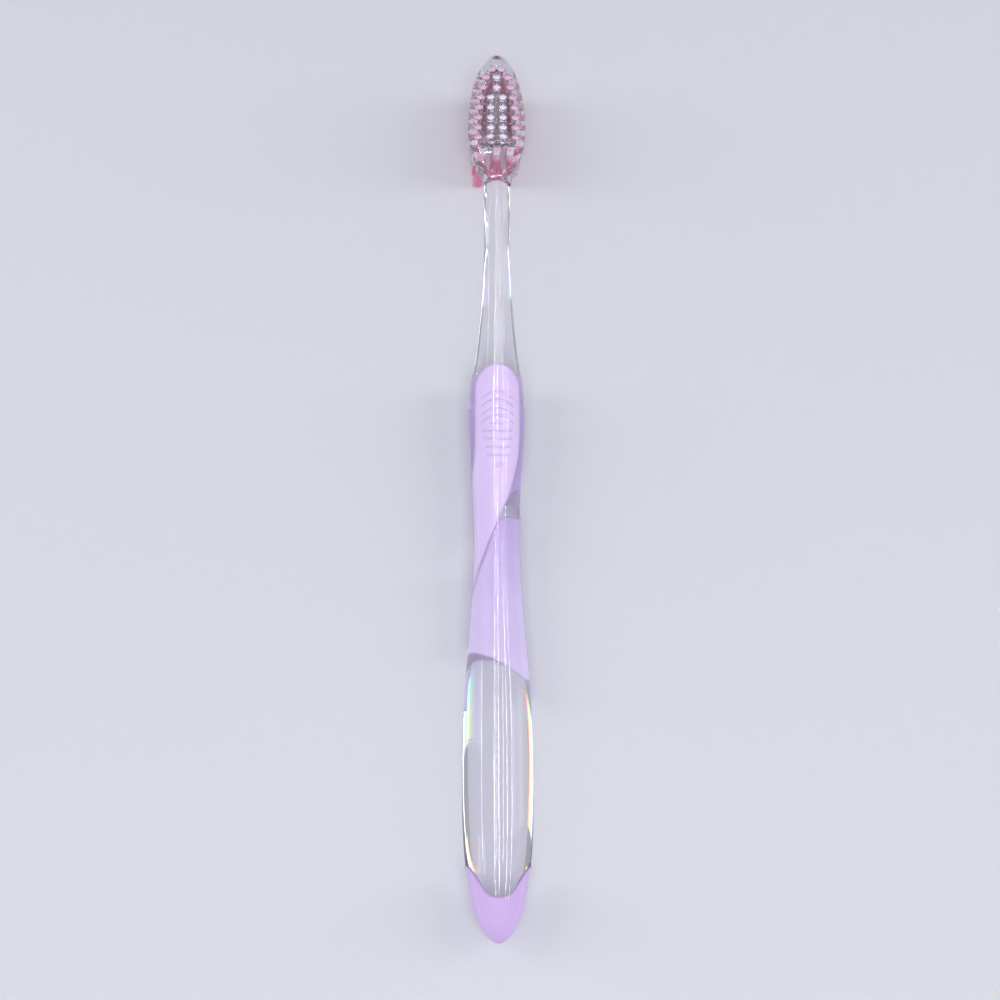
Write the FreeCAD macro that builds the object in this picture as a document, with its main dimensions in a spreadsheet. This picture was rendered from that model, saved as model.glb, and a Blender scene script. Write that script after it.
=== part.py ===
import FreeCAD, Part
import math
import os

import Sketcher

# A manual toothbrush lying on its bristles, in millimetres. X runs across the brush, Y towards
# the toe of the head, Z up. The origin is on the surface that the brush lies on, below its middle.
# "Ahead" is towards the toe and "behind" towards the tail, both measured from that middle.

doc = FreeCAD.newDocument("toothbrush")
Vector = FreeCAD.Vector
X_AXIS = Vector(1, 0, 0)
Y_AXIS = Vector(0, 1, 0)
Z_AXIS = Vector(0, 0, 1)

# Driving dimensions: name, value and meaning.
SIZES = (
    ("overall_length", 190.0, "toe of the head to the end of the tail"),
    ("neck_width", 5.4, "narrowest part of the neck, across"),
    ("neck_height", 4.8, "narrowest part of the neck, back to front"),
    ("neck_place", 48.0, "narrowest part of the neck, ahead"),
    ("neck_rise", 11.2, "axis of the neck above the surface"),
    ("thumb_width", 11.2, "swelling under the thumb, across"),
    ("thumb_height", 9.4, "swelling under the thumb, back to front"),
    ("thumb_place", 13.5, "middle of the thumb swelling, ahead"),
    ("thumb_rise", 6.95, "axis of the thumb swelling above the surface"),
    ("waist_width", 9.04, "waist behind the thumb, across"),
    ("waist_height", 8.4, "waist behind the thumb, back to front"),
    ("waist_place", 14.0, "waist, behind"),
    ("waist_rise", 6.0, "axis of the waist above the surface"),
    ("belly_width", 13.8, "belly in the palm, across"),
    ("belly_height", 11.6, "belly in the palm, back to front"),
    ("belly_place", 62.5, "belly, behind"),
    ("tail_rise", 6.0, "tip of the tail above the surface"),
    ("head_width", 11.9, "head plate, across"),
    ("head_toe_length", 18.0, "widest part of the head to its toe"),
    ("head_heel_length", 12.3, "widest part of the head to the end of its heel oval"),
    ("head_thickness", 4.3, "head plate, face to back"),
    ("head_stub_length", 2.2, "straight part of the plate on the neck"),
    ("shoulder_radius", 3.0, "hollow between the heel and the neck"),
    ("head_back_radius", 1.3, "rounding of the back of the head"),
    ("bristle_length", 10.6, "bristles that show, face to tips"),
    ("hole_diameter", 1.7, "tuft hole"),
    ("hole_depth", 3.2, "tuft hole"),
    ("tuft_clearance", 0.015, "tuft to the wall of its hole"),
    ("row_pitch", 2.45, "tuft row to tuft row"),
    ("toe_row_pitch", 2.0, "first tuft row to the second"),
    ("toe_row_place", 3.5, "first tuft row behind the toe"),
    ("tuft_edge_margin", 2.05, "middle of an outer tuft to the edge of the head"),
    ("inner_gauge", 2.5, "inner left tuft to inner right tuft"),
    ("toe_gauge", 1.9, "left to right tuft of the first row"),
    ("heel_gauge", 5.4, "left to right tuft of the last row"),
    ("anchor_width", 2.0, "metal strip that holds a tuft, across its hole"),
    ("anchor_height", 1.5, "metal strip that holds a tuft, along its hole"),
    ("anchor_thickness", 0.25, "metal strip that holds a tuft"),
    ("anchor_clearance", 0.01, "metal strip to the bristles and the plastic"),
    ("fold_height", 0.6, "bristles folded between a strip and the bottom of its hole"),
    ("back_rib_radius", 4.2, "arched rib on the back of the head, in plan"),
    ("back_rib_length", 5.4, "arched rib on the back of the head, across"),
    ("back_rib_width", 0.45, "arched rib on the back of the head, along the brush"),
    ("back_rib_height", 0.18, "arched rib above the back of the head"),
    ("grip_depth", 1.4, "soft grips and cap, thickness above and below"),
    ("grip_side_depth", 1.1, "soft grips and cap, thickness at the sides"),
    ("parting_drop", 0.2, "top edge of the lower grips below the axis of the handle"),
    ("thumb_grip_width", 8.8, "thumb grip, across"),
    ("thumb_grip_top", 23.15, "front of the thumb grip, ahead"),
    ("thumb_grip_turn", 0.5, "where its right edge turns, ahead"),
    ("thumb_grip_left_turn", 2.0, "where its left edge turns, ahead"),
    ("thumb_grip_end", 24.2, "end of its tail on the left, behind"),
    ("thumb_turn_radius", 28.0, "rounding where its right edge turns"),
    ("thumb_ledge", 1.3, "lowest part of the thumb grip's sides above the axis of the handle"),
    ("rib_height", 0.25, "ribs above the soft grips"),
    ("rib_width", 0.5, "ribs of the soft grips"),
    ("arch_rib_place", 17.1, "first arched rib of the thumb grip, ahead"),
    ("arch_rib_pitch", 1.76, "arched ribs of the thumb grip"),
    ("arch_rib_radius", 4.9, "arched ribs of the thumb grip, in plan"),
    ("bowl_rib_place", 8.4, "first lower rib of the thumb grip, ahead"),
    ("bowl_rib_pitch", 1.67, "lower ribs of the thumb grip"),
    ("bowl_rib_radius", 8.0, "lower ribs of the thumb grip, in plan"),
    ("rib_margin", 1.1, "end of a rib to the edge of the thumb grip"),
    ("gate_diameter", 1.6, "mark of the moulding gate"),
    ("gate_depth", 0.2, "mark of the moulding gate"),
    ("gate_place", 1.3, "mark of the moulding gate, ahead"),
    ("finger_grip_top", 22.9, "front of the finger grip, ahead"),
    ("finger_grip_right_end", 1.75, "its end on the right, ahead"),
    ("finger_grip_left_end", 14.0, "its end on the left, behind"),
    ("finger_notch_place", 16.7, "side notch of the finger grip, ahead"),
    ("finger_notch_length", 2.2, "side notch of the finger grip, along the brush"),
    ("finger_notch_gauge", 7.0, "width that is left between the side notches"),
    ("finger_rib_place", 14.2, "first rib of the finger grip, ahead"),
    ("finger_rib_pitch", 1.14, "ribs of the finger grip"),
    ("palm_grip_right_start", 7.7, "front of the palm grip on the right, behind"),
    ("palm_grip_left_start", 18.4, "front of the palm grip on the left, behind"),
    ("palm_grip_left_end", 35.8, "rear of the palm grip on the left, behind"),
    ("palm_grip_middle_end", 38.4, "rear of the palm grip in the middle, behind"),
    ("palm_grip_right_end", 47.2, "rear of the palm grip on the right, behind"),
    ("grip_corner_radius", 1.2, "rounding of the lower grips' corners, in plan"),
    ("cap_edge_place", 87.4, "edge of the tail cap on the middle line, behind"),
    ("cap_edge_half_angle", 30.0, "edge of the tail cap to the middle line, in degrees"),
    ("cap_edge_radius", 3.4, "rounding of the cap's edge on the middle line"),
    ("cut_overrun", 3.0, "how far a cutting solid runs past what it cuts"),
)

# Shares of the way from one named section of the handle to the next: along the brush, of the
# change in width and height, and of the change in rise.
NECK_TO_THUMB_SHARES = ((0.25, 0.125, 0.23), (0.5, 0.365, 0.5), (0.63, 0.55, 0.64),
                        (0.75, 0.755, 0.77), (0.87, 0.92, 0.90))
THUMB_TO_WAIST_SHARES = ((0.25, 0.29, 0.35), (0.5, 0.66, 0.65), (0.75, 0.89, 0.87))
WAIST_TO_BELLY_SHARES = ((0.25, 0.19, 0.25), (0.5, 0.575, 0.5), (0.75, 0.905, 0.75))
# Shares from the belly to the tip of the tail, and what is left of the belly's width there.
BELLY_TO_TAIL_SHARES = ((0.26, 0.981), (0.5, 0.914), (0.68, 0.797), (0.8, 0.665), (0.88, 0.53),
                        (0.94, 0.385), (0.98, 0.225), (1.0, 0.07))
# The neck inside the heel of the head: its size there as a share of the neck's own.
NECK_ROOT_SHARE = 0.86
HEEL_DEPTH_SHARE = 0.4
# Half lengths of the lower ribs on the thumb grip, as shares of the arched ribs'.
BOWL_RIB_SHARES = (0.94, 0.91, 0.79, 0.73)
SHORT_RIB_SHARE = 0.48
# Where the front edge of the palm grip steps back, as shares of half the waist.
PALM_STEP_SHARES = (0.12, -0.52)
PALM_HEEL_SHARE = 0.62
OVAL_CORNERS = 24
TUFT_SIDES = 8
ARCH_RIBS = 4
FINGER_RIBS = 10
BACK_RIBS = 7

sheet = doc.addObject("Spreadsheet::Sheet", "sizes")
for number, (alias, value, meaning) in enumerate(SIZES, 1):
    sheet.set("A%d" % number, meaning)
    sheet.set("B%d" % number, str(value))
    sheet.setAlias("B%d" % number, alias)
doc.recompute()


def size(alias):
    return float(sheet.get(alias))


def add(kind, label, expressions=None, place=None, turn=0.0, **properties):
    """One object of the document, with its sizes bound to the sheet."""
    item = doc.addObject(kind, label)
    item.Label = label
    for name, value in properties.items():
        setattr(item, name, value)
    if place is not None:
        item.Placement = FreeCAD.Placement(place, FreeCAD.Rotation(Z_AXIS, turn))
    for name, expression in (expressions or {}).items():
        item.setExpression(name, expression)
    return item


def cut(label, base, tool):
    return add("Part::Cut", label, Base=base, Tool=tool)


def common(label, first, second):
    return add("Part::Common", label, Base=first, Tool=second)


def fuse(label, shapes):
    return add("Part::MultiFuse", label, Shapes=shapes)


def blend(start, end, share):
    return start + (end - start) * share


# The handle's sections: place along the brush, half width, half height and rise.
half_length = size("overall_length") / 2
head_middle = half_length - size("head_toe_length")
face_level = size("bristle_length")
back_level = face_level + size("head_thickness")


def named_section(name, sign, rise):
    half_width = size(name + "_width") / 2
    half_height = size(name + "_height") / 2
    return (sign * size(name + "_place"), half_width, half_height, rise)


def between(first, last, shares):
    return [
        (
            blend(first[0], last[0], along),
            blend(first[1], last[1], change),
            blend(first[2], last[2], change),
            blend(first[3], last[3], climb),
        )
        for along, change, climb in shares
    ]


neck = named_section("neck", 1, size("neck_rise"))
thumb = named_section("thumb", 1, size("thumb_rise"))
waist = named_section("waist", -1, size("waist_rise"))
belly = named_section("belly", -1, size("belly_height") / 2)
plate_rise = face_level + size("head_thickness") / 2
heel_depth = size("head_heel_length") * HEEL_DEPTH_SHARE
root_half_width = neck[1] * NECK_ROOT_SHARE
root_half_height = size("head_thickness") / 2 * NECK_ROOT_SHARE
stub_place = (
    head_middle
    - size("head_heel_length") * math.sqrt(1 - (size("neck_width") / size("head_width")) ** 2)
    - size("head_stub_length")
)
neck_sections = [
    (stub_place + heel_depth, root_half_width, root_half_height, plate_rise),
    (stub_place, neck[1], blend(neck[2], root_half_height, 0.5), blend(plate_rise, neck[3], 0.25)),
    (blend(stub_place, neck[0], 0.5), neck[1], neck[2], blend(plate_rise, neck[3], 0.58)),
    neck,
]
grip_sections = between(neck, thumb, NECK_TO_THUMB_SHARES)[1:]
grip_sections += [thumb] + between(thumb, waist, THUMB_TO_WAIST_SHARES)
grip_sections += [waist] + between(waist, belly, WAIST_TO_BELLY_SHARES) + [belly]
tail_sections = [
    (
        blend(belly[0], -half_length, along),
        belly[1] * left,
        belly[2] * left,
        blend(belly[3], size("tail_rise"), along),
    )
    for along, left in BELLY_TO_TAIL_SHARES
]
first_grip = between(neck, thumb, NECK_TO_THUMB_SHARES)[:1]
all_sections = neck_sections + first_grip + grip_sections + tail_sections
tang_sections = tail_sections[:5]


def oval(label, section, side_inset, depth_inset):
    """A closed oval across the brush, drawn as a polygon with corners on both its widest lines.
    Lofts through it run smoothly along the brush in as many strips as it has corners."""
    place, half_width, half_height, rise = section
    corners = [
        Vector(
            (half_width - side_inset) * math.cos(2 * math.pi * number / OVAL_CORNERS),
            (half_height - depth_inset) * math.sin(2 * math.pi * number / OVAL_CORNERS),
            0,
        )
        for number in range(OVAL_CORNERS)
    ]
    item = doc.addObject("Part::Feature", label)
    item.Shape = Part.makePolygon(corners + corners[:1])
    item.Placement = FreeCAD.Placement(Vector(0, place, rise), FreeCAD.Rotation(X_AXIS, 90))
    return item


def oval_loft(label, sections, side_inset, depth_inset):
    ovals = [
        oval("%s_section_%d" % (label, number), section, side_inset, depth_inset)
        for number, section in enumerate(sections, 1)
    ]
    return add("Part::Loft", label, Sections=ovals, Solid=True, Ruled=False, MaxDegree=3)


handle_skin = oval_loft("handle_skin", all_sections, 0, 0)
core = oval_loft(
    "core", grip_sections + tang_sections, size("grip_side_depth"), size("grip_depth")
)

# Plan outlines: closed sketches whose corners are bound to the sheet, raised to prisms.
def plan_prism(label, corners):
    sketch = doc.addObject("Sketcher::SketchObject", label + "_plan")
    points = [Vector(evaluate(x), evaluate(y), 0) for x, y in corners]
    count = len(points)
    for index in range(count):
        sketch.addGeometry(Part.LineSegment(points[index], points[(index + 1) % count]))
    for index in range(count):
        following = (index + 1) % count
        sketch.addConstraint(Sketcher.Constraint("Coincident", index, 2, following, 1))
    for index, (x, y) in enumerate(corners):
        for axis, expression in (("X", x), ("Y", y)):
            value = points[index].x if axis == "X" else points[index].y
            number = sketch.addConstraint(
                Sketcher.Constraint("Distance" + axis, -1, 1, index, 1, value)
            )
            name = "corner_%d_%s" % (index + 1, axis.lower())
            sketch.renameConstraint(number, name)
            sketch.setExpression("Constraints." + name, expression)
    return add(
        "Part::Extrusion",
        label,
        {
            "LengthFwd": "sizes.belly_height + sizes.cut_overrun",
            "LengthRev": "sizes.cut_overrun",
        },
        Base=sketch,
        DirMode="Normal",
        Solid=True,
    )


def evaluate(expression):
    return float(sheet.evalExpression(expression.replace("sizes.", "")))


def round_corners(label, prism, alias, wanted):
    """The upright edges of a prism at the plan places that wanted picks, rounded."""
    doc.recompute()
    edges = []
    for number, edge in enumerate(prism.Shape.Edges, 1):
        ends = [vertex.Point for vertex in edge.Vertexes]
        upright = len(ends) == 2 and abs(ends[0].z - ends[1].z) > prism.Shape.BoundBox.ZLength / 2
        if upright and wanted(ends[0]):
            edges.append((number, size(alias), size(alias)))
    return add("Part::Fillet", label, Base=prism, Edges=edges)


thumb_slope = (
    "2 * (sizes.thumb_grip_turn + sizes.thumb_grip_end)"
    " / (sizes.thumb_grip_width + sizes.waist_width)"
)
thumb_left = "-(sizes.waist_width / 2 + sizes.cut_overrun)"
thumb_front = "sizes.thumb_grip_top - sizes.thumb_grip_width / 2"
thumb_prism = plan_prism(
    "thumb_prism",
    [
        ("sizes.thumb_grip_width / 2", thumb_front),
        ("sizes.thumb_grip_width / 2", "sizes.thumb_grip_turn"),
        (thumb_left, "-(sizes.thumb_grip_end + sizes.cut_overrun * %s)" % thumb_slope),
        (thumb_left, "sizes.thumb_grip_left_turn - sizes.cut_overrun"),
        ("-sizes.thumb_grip_width / 2", "sizes.thumb_grip_left_turn"),
        ("-sizes.thumb_grip_width / 2", thumb_front),
    ],
)
thumb_prism_turned = round_corners(
    "thumb_prism_turned",
    thumb_prism,
    "thumb_turn_radius",
    lambda p: p.x > 0 and p.y < size("thumb_grip_top") / 2,
)
thumb_front_round = add(
    "Part::Cylinder",
    "thumb_front_round",
    {
        "Radius": "sizes.thumb_grip_width / 2",
        "Height": "sizes.belly_height + sizes.cut_overrun",
        "Placement.Base.y": thumb_front,
    },
)
thumb_plan = fuse("thumb_plan", [thumb_prism_turned, thumb_front_round])

finger_slope = "(sizes.finger_grip_right_end + sizes.finger_grip_left_end) / sizes.waist_width"
finger_out = "(sizes.thumb_width / 2 + sizes.cut_overrun)"
finger_past = "(%s - sizes.waist_width / 2) * %s" % (finger_out, finger_slope)
notch_front = "sizes.finger_notch_place + sizes.finger_notch_length / 2"
notch_rear = "sizes.finger_notch_place - sizes.finger_notch_length / 2"
finger_prism = plan_prism(
    "finger_prism",
    [
        ("-" + finger_out, "sizes.finger_grip_top"),
        (finger_out, "sizes.finger_grip_top"),
        (finger_out, notch_front),
        ("sizes.finger_notch_gauge / 2", notch_front),
        ("sizes.finger_notch_gauge / 2", notch_rear),
        (finger_out, notch_rear),
        (finger_out, "sizes.finger_grip_right_end + %s" % finger_past),
        ("-" + finger_out, "-(sizes.finger_grip_left_end + %s)" % finger_past),
        ("-" + finger_out, notch_rear),
        ("-sizes.finger_notch_gauge / 2", notch_rear),
        ("-sizes.finger_notch_gauge / 2", notch_front),
        ("-" + finger_out, notch_front),
    ],
)

palm_out = "(sizes.belly_width / 2 + sizes.cut_overrun)"
palm_right_slope = (
    "2 * (sizes.palm_grip_right_end - sizes.palm_grip_middle_end) / sizes.belly_width"
)
palm_prism = plan_prism(
    "palm_prism",
    [
        (palm_out, "-sizes.palm_grip_right_start"),
        ("sizes.waist_width / 2 * %s" % PALM_STEP_SHARES[0], "-sizes.palm_grip_right_start"),
        ("sizes.waist_width / 2 * (%s)" % PALM_STEP_SHARES[1], "-sizes.palm_grip_left_start"),
        ("-" + palm_out, "-sizes.palm_grip_left_start"),
        ("-" + palm_out, "-sizes.palm_grip_left_end"),
        ("-sizes.belly_width / 2 * %s" % PALM_HEEL_SHARE, "-sizes.palm_grip_left_end"),
        ("0", "-sizes.palm_grip_middle_end"),
        (palm_out, "-(sizes.palm_grip_right_end + sizes.cut_overrun * %s)" % palm_right_slope),
    ],
)
palm_plan = round_corners(
    "palm_plan",
    palm_prism,
    "grip_corner_radius",
    lambda p: abs(p.x) < size("belly_width") / 2,
)

cap_out = "(sizes.belly_width / 2 + sizes.cut_overrun)"
cap_apex = (
    "(sizes.cap_edge_place + sizes.cap_edge_radius"
    " * (1 / sin(sizes.cap_edge_half_angle * 1 deg) - 1))"
)
cap_side = "%s / tan(sizes.cap_edge_half_angle * 1 deg) - %s" % (cap_out, cap_apex)
cap_prism = plan_prism(
    "cap_prism",
    [
        ("0", "-" + cap_apex),
        (cap_out, cap_side),
        (cap_out, "-(sizes.overall_length / 2 + sizes.cut_overrun)"),
        ("-" + cap_out, "-(sizes.overall_length / 2 + sizes.cut_overrun)"),
        ("-" + cap_out, cap_side),
    ],
)
cap_plan = round_corners(
    "cap_plan", cap_prism, "cap_edge_radius", lambda p: abs(p.x) < size("cut_overrun")
)


# Seen from the side: the handle below its widest line, where the lower grips lie, and the
# plastic that rises to a ledge beside the thumb grip, ahead of where the grip's tail wraps round.
def side_prism(label, top_edges, top_line):
    below = -size("cut_overrun")
    rear = Vector(0, top_line[-1].y, below)
    front = Vector(0, top_line[0].y, below)
    frame = [
        Part.makeLine(top_line[-1], rear),
        Part.makeLine(rear, front),
        Part.makeLine(front, top_line[0]),
    ]
    profile = doc.addObject("Part::Feature", label + "_profile")
    profile.Shape = Part.Face(Part.Wire(top_edges + frame))
    return add(
        "Part::Extrusion",
        label,
        {"LengthFwd": "sizes.belly_width + sizes.cut_overrun"},
        Base=profile,
        DirMode="Custom",
        Dir=X_AXIS,
        Symmetric=True,
        Solid=True,
    )


parting_line = [
    Vector(0, place, rise - size("parting_drop")) for place, _, _, rise in grip_sections
]
parting_curve = Part.BSplineCurve()
parting_curve.interpolate(parting_line)
lower_side = side_prism("lower_side", [parting_curve.toShape()], parting_line)

ledge_line = [
    Vector(0, place, rise + size("thumb_ledge"))
    for place, _, _, rise in grip_sections
    if place > -size("gate_place")
]
wrap_start = Vector(0, -size("waist_place") / 2, size("waist_rise") - size("parting_drop"))
ledge_line.append(wrap_start)
ledge_edges = [Part.makeLine(first, last) for first, last in zip(ledge_line, ledge_line[1:])]
thumb_bed = side_prism("thumb_bed", ledge_edges, ledge_line)

# The pockets that the soft pieces fill.
thumb_above_parting = cut("thumb_above_parting", thumb_plan, lower_side)
thumb_above_ledge = cut("thumb_above_ledge", thumb_above_parting, thumb_bed)
thumb_pocket = cut("thumb_pocket", thumb_above_ledge, core)
finger_pocket = cut("finger_pocket", common("finger_lower", finger_prism, lower_side), core)
palm_pocket = cut("palm_pocket", common("palm_lower", palm_plan, lower_side), core)
cap_pocket = cut("cap_pocket", cap_plan, core)


# The head: a plate between two half ovals and a stub of the neck, with rounded shoulders and back.
def head_half_width(place):
    length = size("head_toe_length") if place > head_middle else size("head_heel_length")
    share = (place - head_middle) / length
    return size("head_width") / 2 * math.sqrt(max(0, 1 - share * share))


def head_face():
    middle = Vector(0, head_middle, face_level)
    half_width = size("head_width") / 2
    neck_half = size("neck_width") / 2
    side = middle + Vector(half_width, 0, 0)
    toe_end = middle + Vector(0, size("head_toe_length"), 0)
    heel_end = middle - Vector(0, size("head_heel_length"), 0)
    toe_oval = Part.Ellipse(toe_end, side, middle)
    heel_oval = Part.Ellipse(heel_end, side, middle)
    quarter = math.pi / 2
    neck_angle = math.asin(neck_half / half_width)
    toe = Part.ArcOfEllipse(toe_oval, -quarter, quarter).toShape()
    heel_one = Part.ArcOfEllipse(heel_oval, neck_angle, quarter).toShape()
    heel_two = Part.ArcOfEllipse(heel_oval, -quarter, -neck_angle).toShape()
    neck_joint = head_middle - size("head_heel_length") * math.cos(neck_angle)
    corners = [
        Vector(-neck_half, neck_joint, face_level),
        Vector(-neck_half, stub_place, face_level),
        Vector(neck_half, stub_place, face_level),
        Vector(neck_half, neck_joint, face_level),
    ]
    stub = [Part.makeLine(first, last) for first, last in zip(corners, corners[1:])]
    edges = Part.sortEdges([toe, heel_one, heel_two] + stub)[0]
    return Part.Face(Part.Wire(edges))


head_profile = doc.addObject("Part::Feature", "head_profile")
head_profile.Shape = head_face()
head_plate = add(
    "Part::Extrusion",
    "head_plate",
    {"LengthFwd": "sizes.head_thickness"},
    Base=head_profile,
    DirMode="Custom",
    Dir=Z_AXIS,
    Solid=True,
)
stub_half = size("head_stub_length") / 2
head_shouldered = round_corners(
    "head_shouldered",
    head_plate,
    "shoulder_radius",
    lambda p: stub_place + stub_half < p.y < head_middle - size("shoulder_radius"),
)
doc.recompute()
rim_edges = []
for number, edge in enumerate(head_shouldered.Shape.Edges, 1):
    box = edge.BoundBox
    if box.ZMin > plate_rise and box.YMax > stub_place + stub_half:
        rim_edges.append((number, size("head_back_radius"), size("head_back_radius")))
head_blank = add("Part::Fillet", "head_blank", Base=head_shouldered, Edges=rim_edges)

# Arched ribs on the back of the head, one between each two rows of tufts.
row_places = [half_length - size("toe_row_place")]
row_places.append(row_places[0] - size("toe_row_pitch"))
ROWS = 9
for row in range(2, ROWS):
    row_places.append(row_places[-1] - size("row_pitch"))
BACK_RIB_HALF_ANGLE = "asin(sizes.back_rib_length / (2 * sizes.back_rib_radius))"


def back_rib(number):
    """An arched bar that bows to the toe, between two rows of tufts."""
    crown = (row_places[number + 1] + row_places[number + 2]) / 2
    half_angle = math.degrees(math.asin(size("back_rib_length") / 2 / size("back_rib_radius")))
    below = back_level - size("head_back_radius")
    base = Vector(0, crown - size("back_rib_radius"), below)
    rims = [
        add(
            "Part::Cylinder",
            "back_rib_%d_%s" % (number + 1, name),
            {
                "Radius": "sizes.back_rib_radius %s sizes.back_rib_width / 2" % sign,
                "Height": "sizes.head_back_radius + sizes.back_rib_height",
                "Angle": "2 * " + BACK_RIB_HALF_ANGLE,
            },
            base,
            90 - half_angle,
        )
        for name, sign in (("outside", "+"), ("inside", "-"))
    ]
    return cut("back_rib_%d" % (number + 1), rims[0], rims[1])


back_ribs = [back_rib(number) for number in range(BACK_RIBS)]

# Tuft places: name, across and along the brush. The last of each marks the paler inner tufts.
tuft_places = []
for row, place in enumerate(row_places, 1):
    outer = head_half_width(place) - size("tuft_edge_margin")
    if row == 1:
        outer = size("toe_gauge") / 2
    if row == ROWS:
        outer = size("heel_gauge") / 2
    across = [("left", -outer), ("right", outer)]
    if row in (2, 3, ROWS):
        across.append(("middle", 0))
    if 3 < row < ROWS:
        across.append(("inner_left", -size("inner_gauge") / 2))
        across.append(("inner_right", size("inner_gauge") / 2))
    tuft_places += [(row, name, x, place) for name, x in across]

hole_bottom = face_level + size("hole_depth")
anchor_level = hole_bottom - size("fold_height") - size("anchor_height")


def anchor_box(label, x, y, clearance):
    """The metal strip across a hole, or its slot with a clearance all round."""
    return add(
        "Part::Box",
        label,
        {
            "Length": "sizes.anchor_width + 2 * %s" % clearance,
            "Width": "sizes.anchor_thickness + 2 * %s" % clearance,
            "Height": "sizes.anchor_height + 2 * %s" % clearance,
            "Placement.Base.x": "%r - sizes.anchor_width / 2 - %s" % (x, clearance),
            "Placement.Base.y": "%r - sizes.anchor_thickness / 2 - %s" % (y, clearance),
            "Placement.Base.z": "%r - %s" % (anchor_level, clearance),
        },
    )


hole_tools = []
tufts = []
anchors = {}
for row, name, x, y in tuft_places:
    tag = "row_%d_%s" % (row, name)
    hole = add(
        "Part::Prism",
        "hole_" + tag,
        {
            "Circumradius": "sizes.hole_diameter / 2",
            "Height": "sizes.hole_depth + sizes.cut_overrun",
        },
        Vector(x, y, face_level - size("cut_overrun")),
        Polygon=TUFT_SIDES,
    )
    slot = anchor_box("slot_" + tag, x, y, "sizes.anchor_clearance")
    hole_tools += [hole, slot]
    bundle = add(
        "Part::Prism",
        "bundle_" + tag,
        {
            "Circumradius": "sizes.hole_diameter / 2 - sizes.tuft_clearance",
            "Height": "sizes.hole_depth + sizes.bristle_length",
        },
        Vector(x, y, 0),
        Polygon=TUFT_SIDES,
    )
    tufts.append(cut("tuft_" + tag, bundle, slot))
    anchors.setdefault(row, []).append(anchor_box("strip_" + tag, x, y, "0"))
anchor_rows = [
    add("Part::Compound", "anchors_row_%d" % row, Links=strips) for row, strips in anchors.items()
]

# The clear handle: skin and head in one, without the pockets and the tuft holes.
handle_blank = fuse("handle_blank", [handle_skin, head_blank] + back_ribs)
pockets = add(
    "Part::Compound", "pockets", Links=[thumb_pocket, finger_pocket, palm_pocket, cap_pocket]
)
handle_pocketed = cut("handle_pocketed", handle_blank, pockets)
holes = fuse("holes", hole_tools)
handle_body = cut("handle_body", handle_pocketed, holes)

# The soft pieces, each filling its pocket flush with the skin, and their ribs.
doc.recompute()


def skin_section(place):
    """The handle's section at a place along it, measured on its skin."""
    box = handle_skin.Shape.slice(Y_AXIS, place)[0].optimalBoundingBox()
    return (place, box.XLength / 2, box.ZLength / 2, box.Center.z)


def oval_slice(label, section, side_inset, depth_inset, length):
    """A straight slice of the handle's oval, of a length along the brush."""
    return add(
        "Part::Extrusion",
        label,
        {"LengthFwd": length},
        Base=oval(label + "_section", section, side_inset, depth_inset),
        DirMode="Custom",
        Dir=Y_AXIS,
        Symmetric=True,
        Solid=True,
    )


def rib_hoop(label, place, length):
    """A hoop round the handle, from just inside the skin to the crest of a rib."""
    section = skin_section(place)
    rise = size("rib_height")
    crest = oval_slice(label + "_crest", section, -rise, -rise, length)
    side_root = size("grip_side_depth") / 2
    root = oval_slice(label + "_root", section, side_root, size("grip_depth") / 2, length)
    return cut(label + "_hoop", crest, root)


def thumb_rib(label, radius_alias, place, length_share, faces_toe):
    """A rib on the thumb grip, bowed in plan to the toe or to the tail."""
    reach = (size("thumb_grip_width") / 2 - size("rib_margin")) * length_share
    radius = size(radius_alias)
    half_angle = math.degrees(math.asin(reach / radius))
    centre = place - radius if faces_toe else place + radius
    turn = (90 if faces_toe else -90) - half_angle
    base = Vector(0, centre, size("thumb_rise"))
    bound = "asin((sizes.thumb_grip_width / 2 - sizes.rib_margin) * %s / sizes.%s)"
    sides = {"Height": "sizes.thumb_height", "Angle": "2 * " + bound % (length_share, radius_alias)}
    outside = dict(sides, Radius="sizes.%s + sizes.rib_width / 2" % radius_alias)
    inside = dict(sides, Radius="sizes.%s - sizes.rib_width / 2" % radius_alias)
    ring = cut(
        label + "_ring",
        add("Part::Cylinder", label + "_outside", outside, base, turn),
        add("Part::Cylinder", label + "_inside", inside, base, turn),
    )
    sag = radius - math.sqrt(radius**2 - reach**2)
    middle = place - sag / 2 if faces_toe else place + sag / 2
    hoop = rib_hoop(label, middle, "%r + 2 * sizes.rib_width" % sag)
    return common(label, ring, hoop)


thumb_ribs = []
for number in range(ARCH_RIBS):
    place = size("arch_rib_place") - number * size("arch_rib_pitch")
    thumb_ribs.append(thumb_rib("arch_%d" % (number + 1), "arch_rib_radius", place, 1, True))
short_place = size("bowl_rib_place") + size("bowl_rib_pitch")
thumb_ribs.append(thumb_rib("short_bowl", "bowl_rib_radius", short_place, SHORT_RIB_SHARE, False))
for number, share in enumerate(BOWL_RIB_SHARES):
    place = size("bowl_rib_place") - number * size("bowl_rib_pitch")
    thumb_ribs.append(thumb_rib("bowl_%d" % (number + 1), "bowl_rib_radius", place, share, False))
thumb_base = common("thumb_base", handle_skin, thumb_pocket)

gate_section = skin_section(size("gate_place"))
gate_mark = add(
    "Part::Cylinder",
    "gate_mark",
    {
        "Radius": "sizes.gate_diameter / 2",
        "Height": "sizes.cut_overrun",
        "Placement.Base.y": "sizes.gate_place",
    },
    Vector(0, 0, gate_section[3] + gate_section[2] - size("gate_depth")),
)
thumb_grip = cut("thumb_grip", fuse("thumb_ribbed", [thumb_base] + thumb_ribs), gate_mark)


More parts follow.
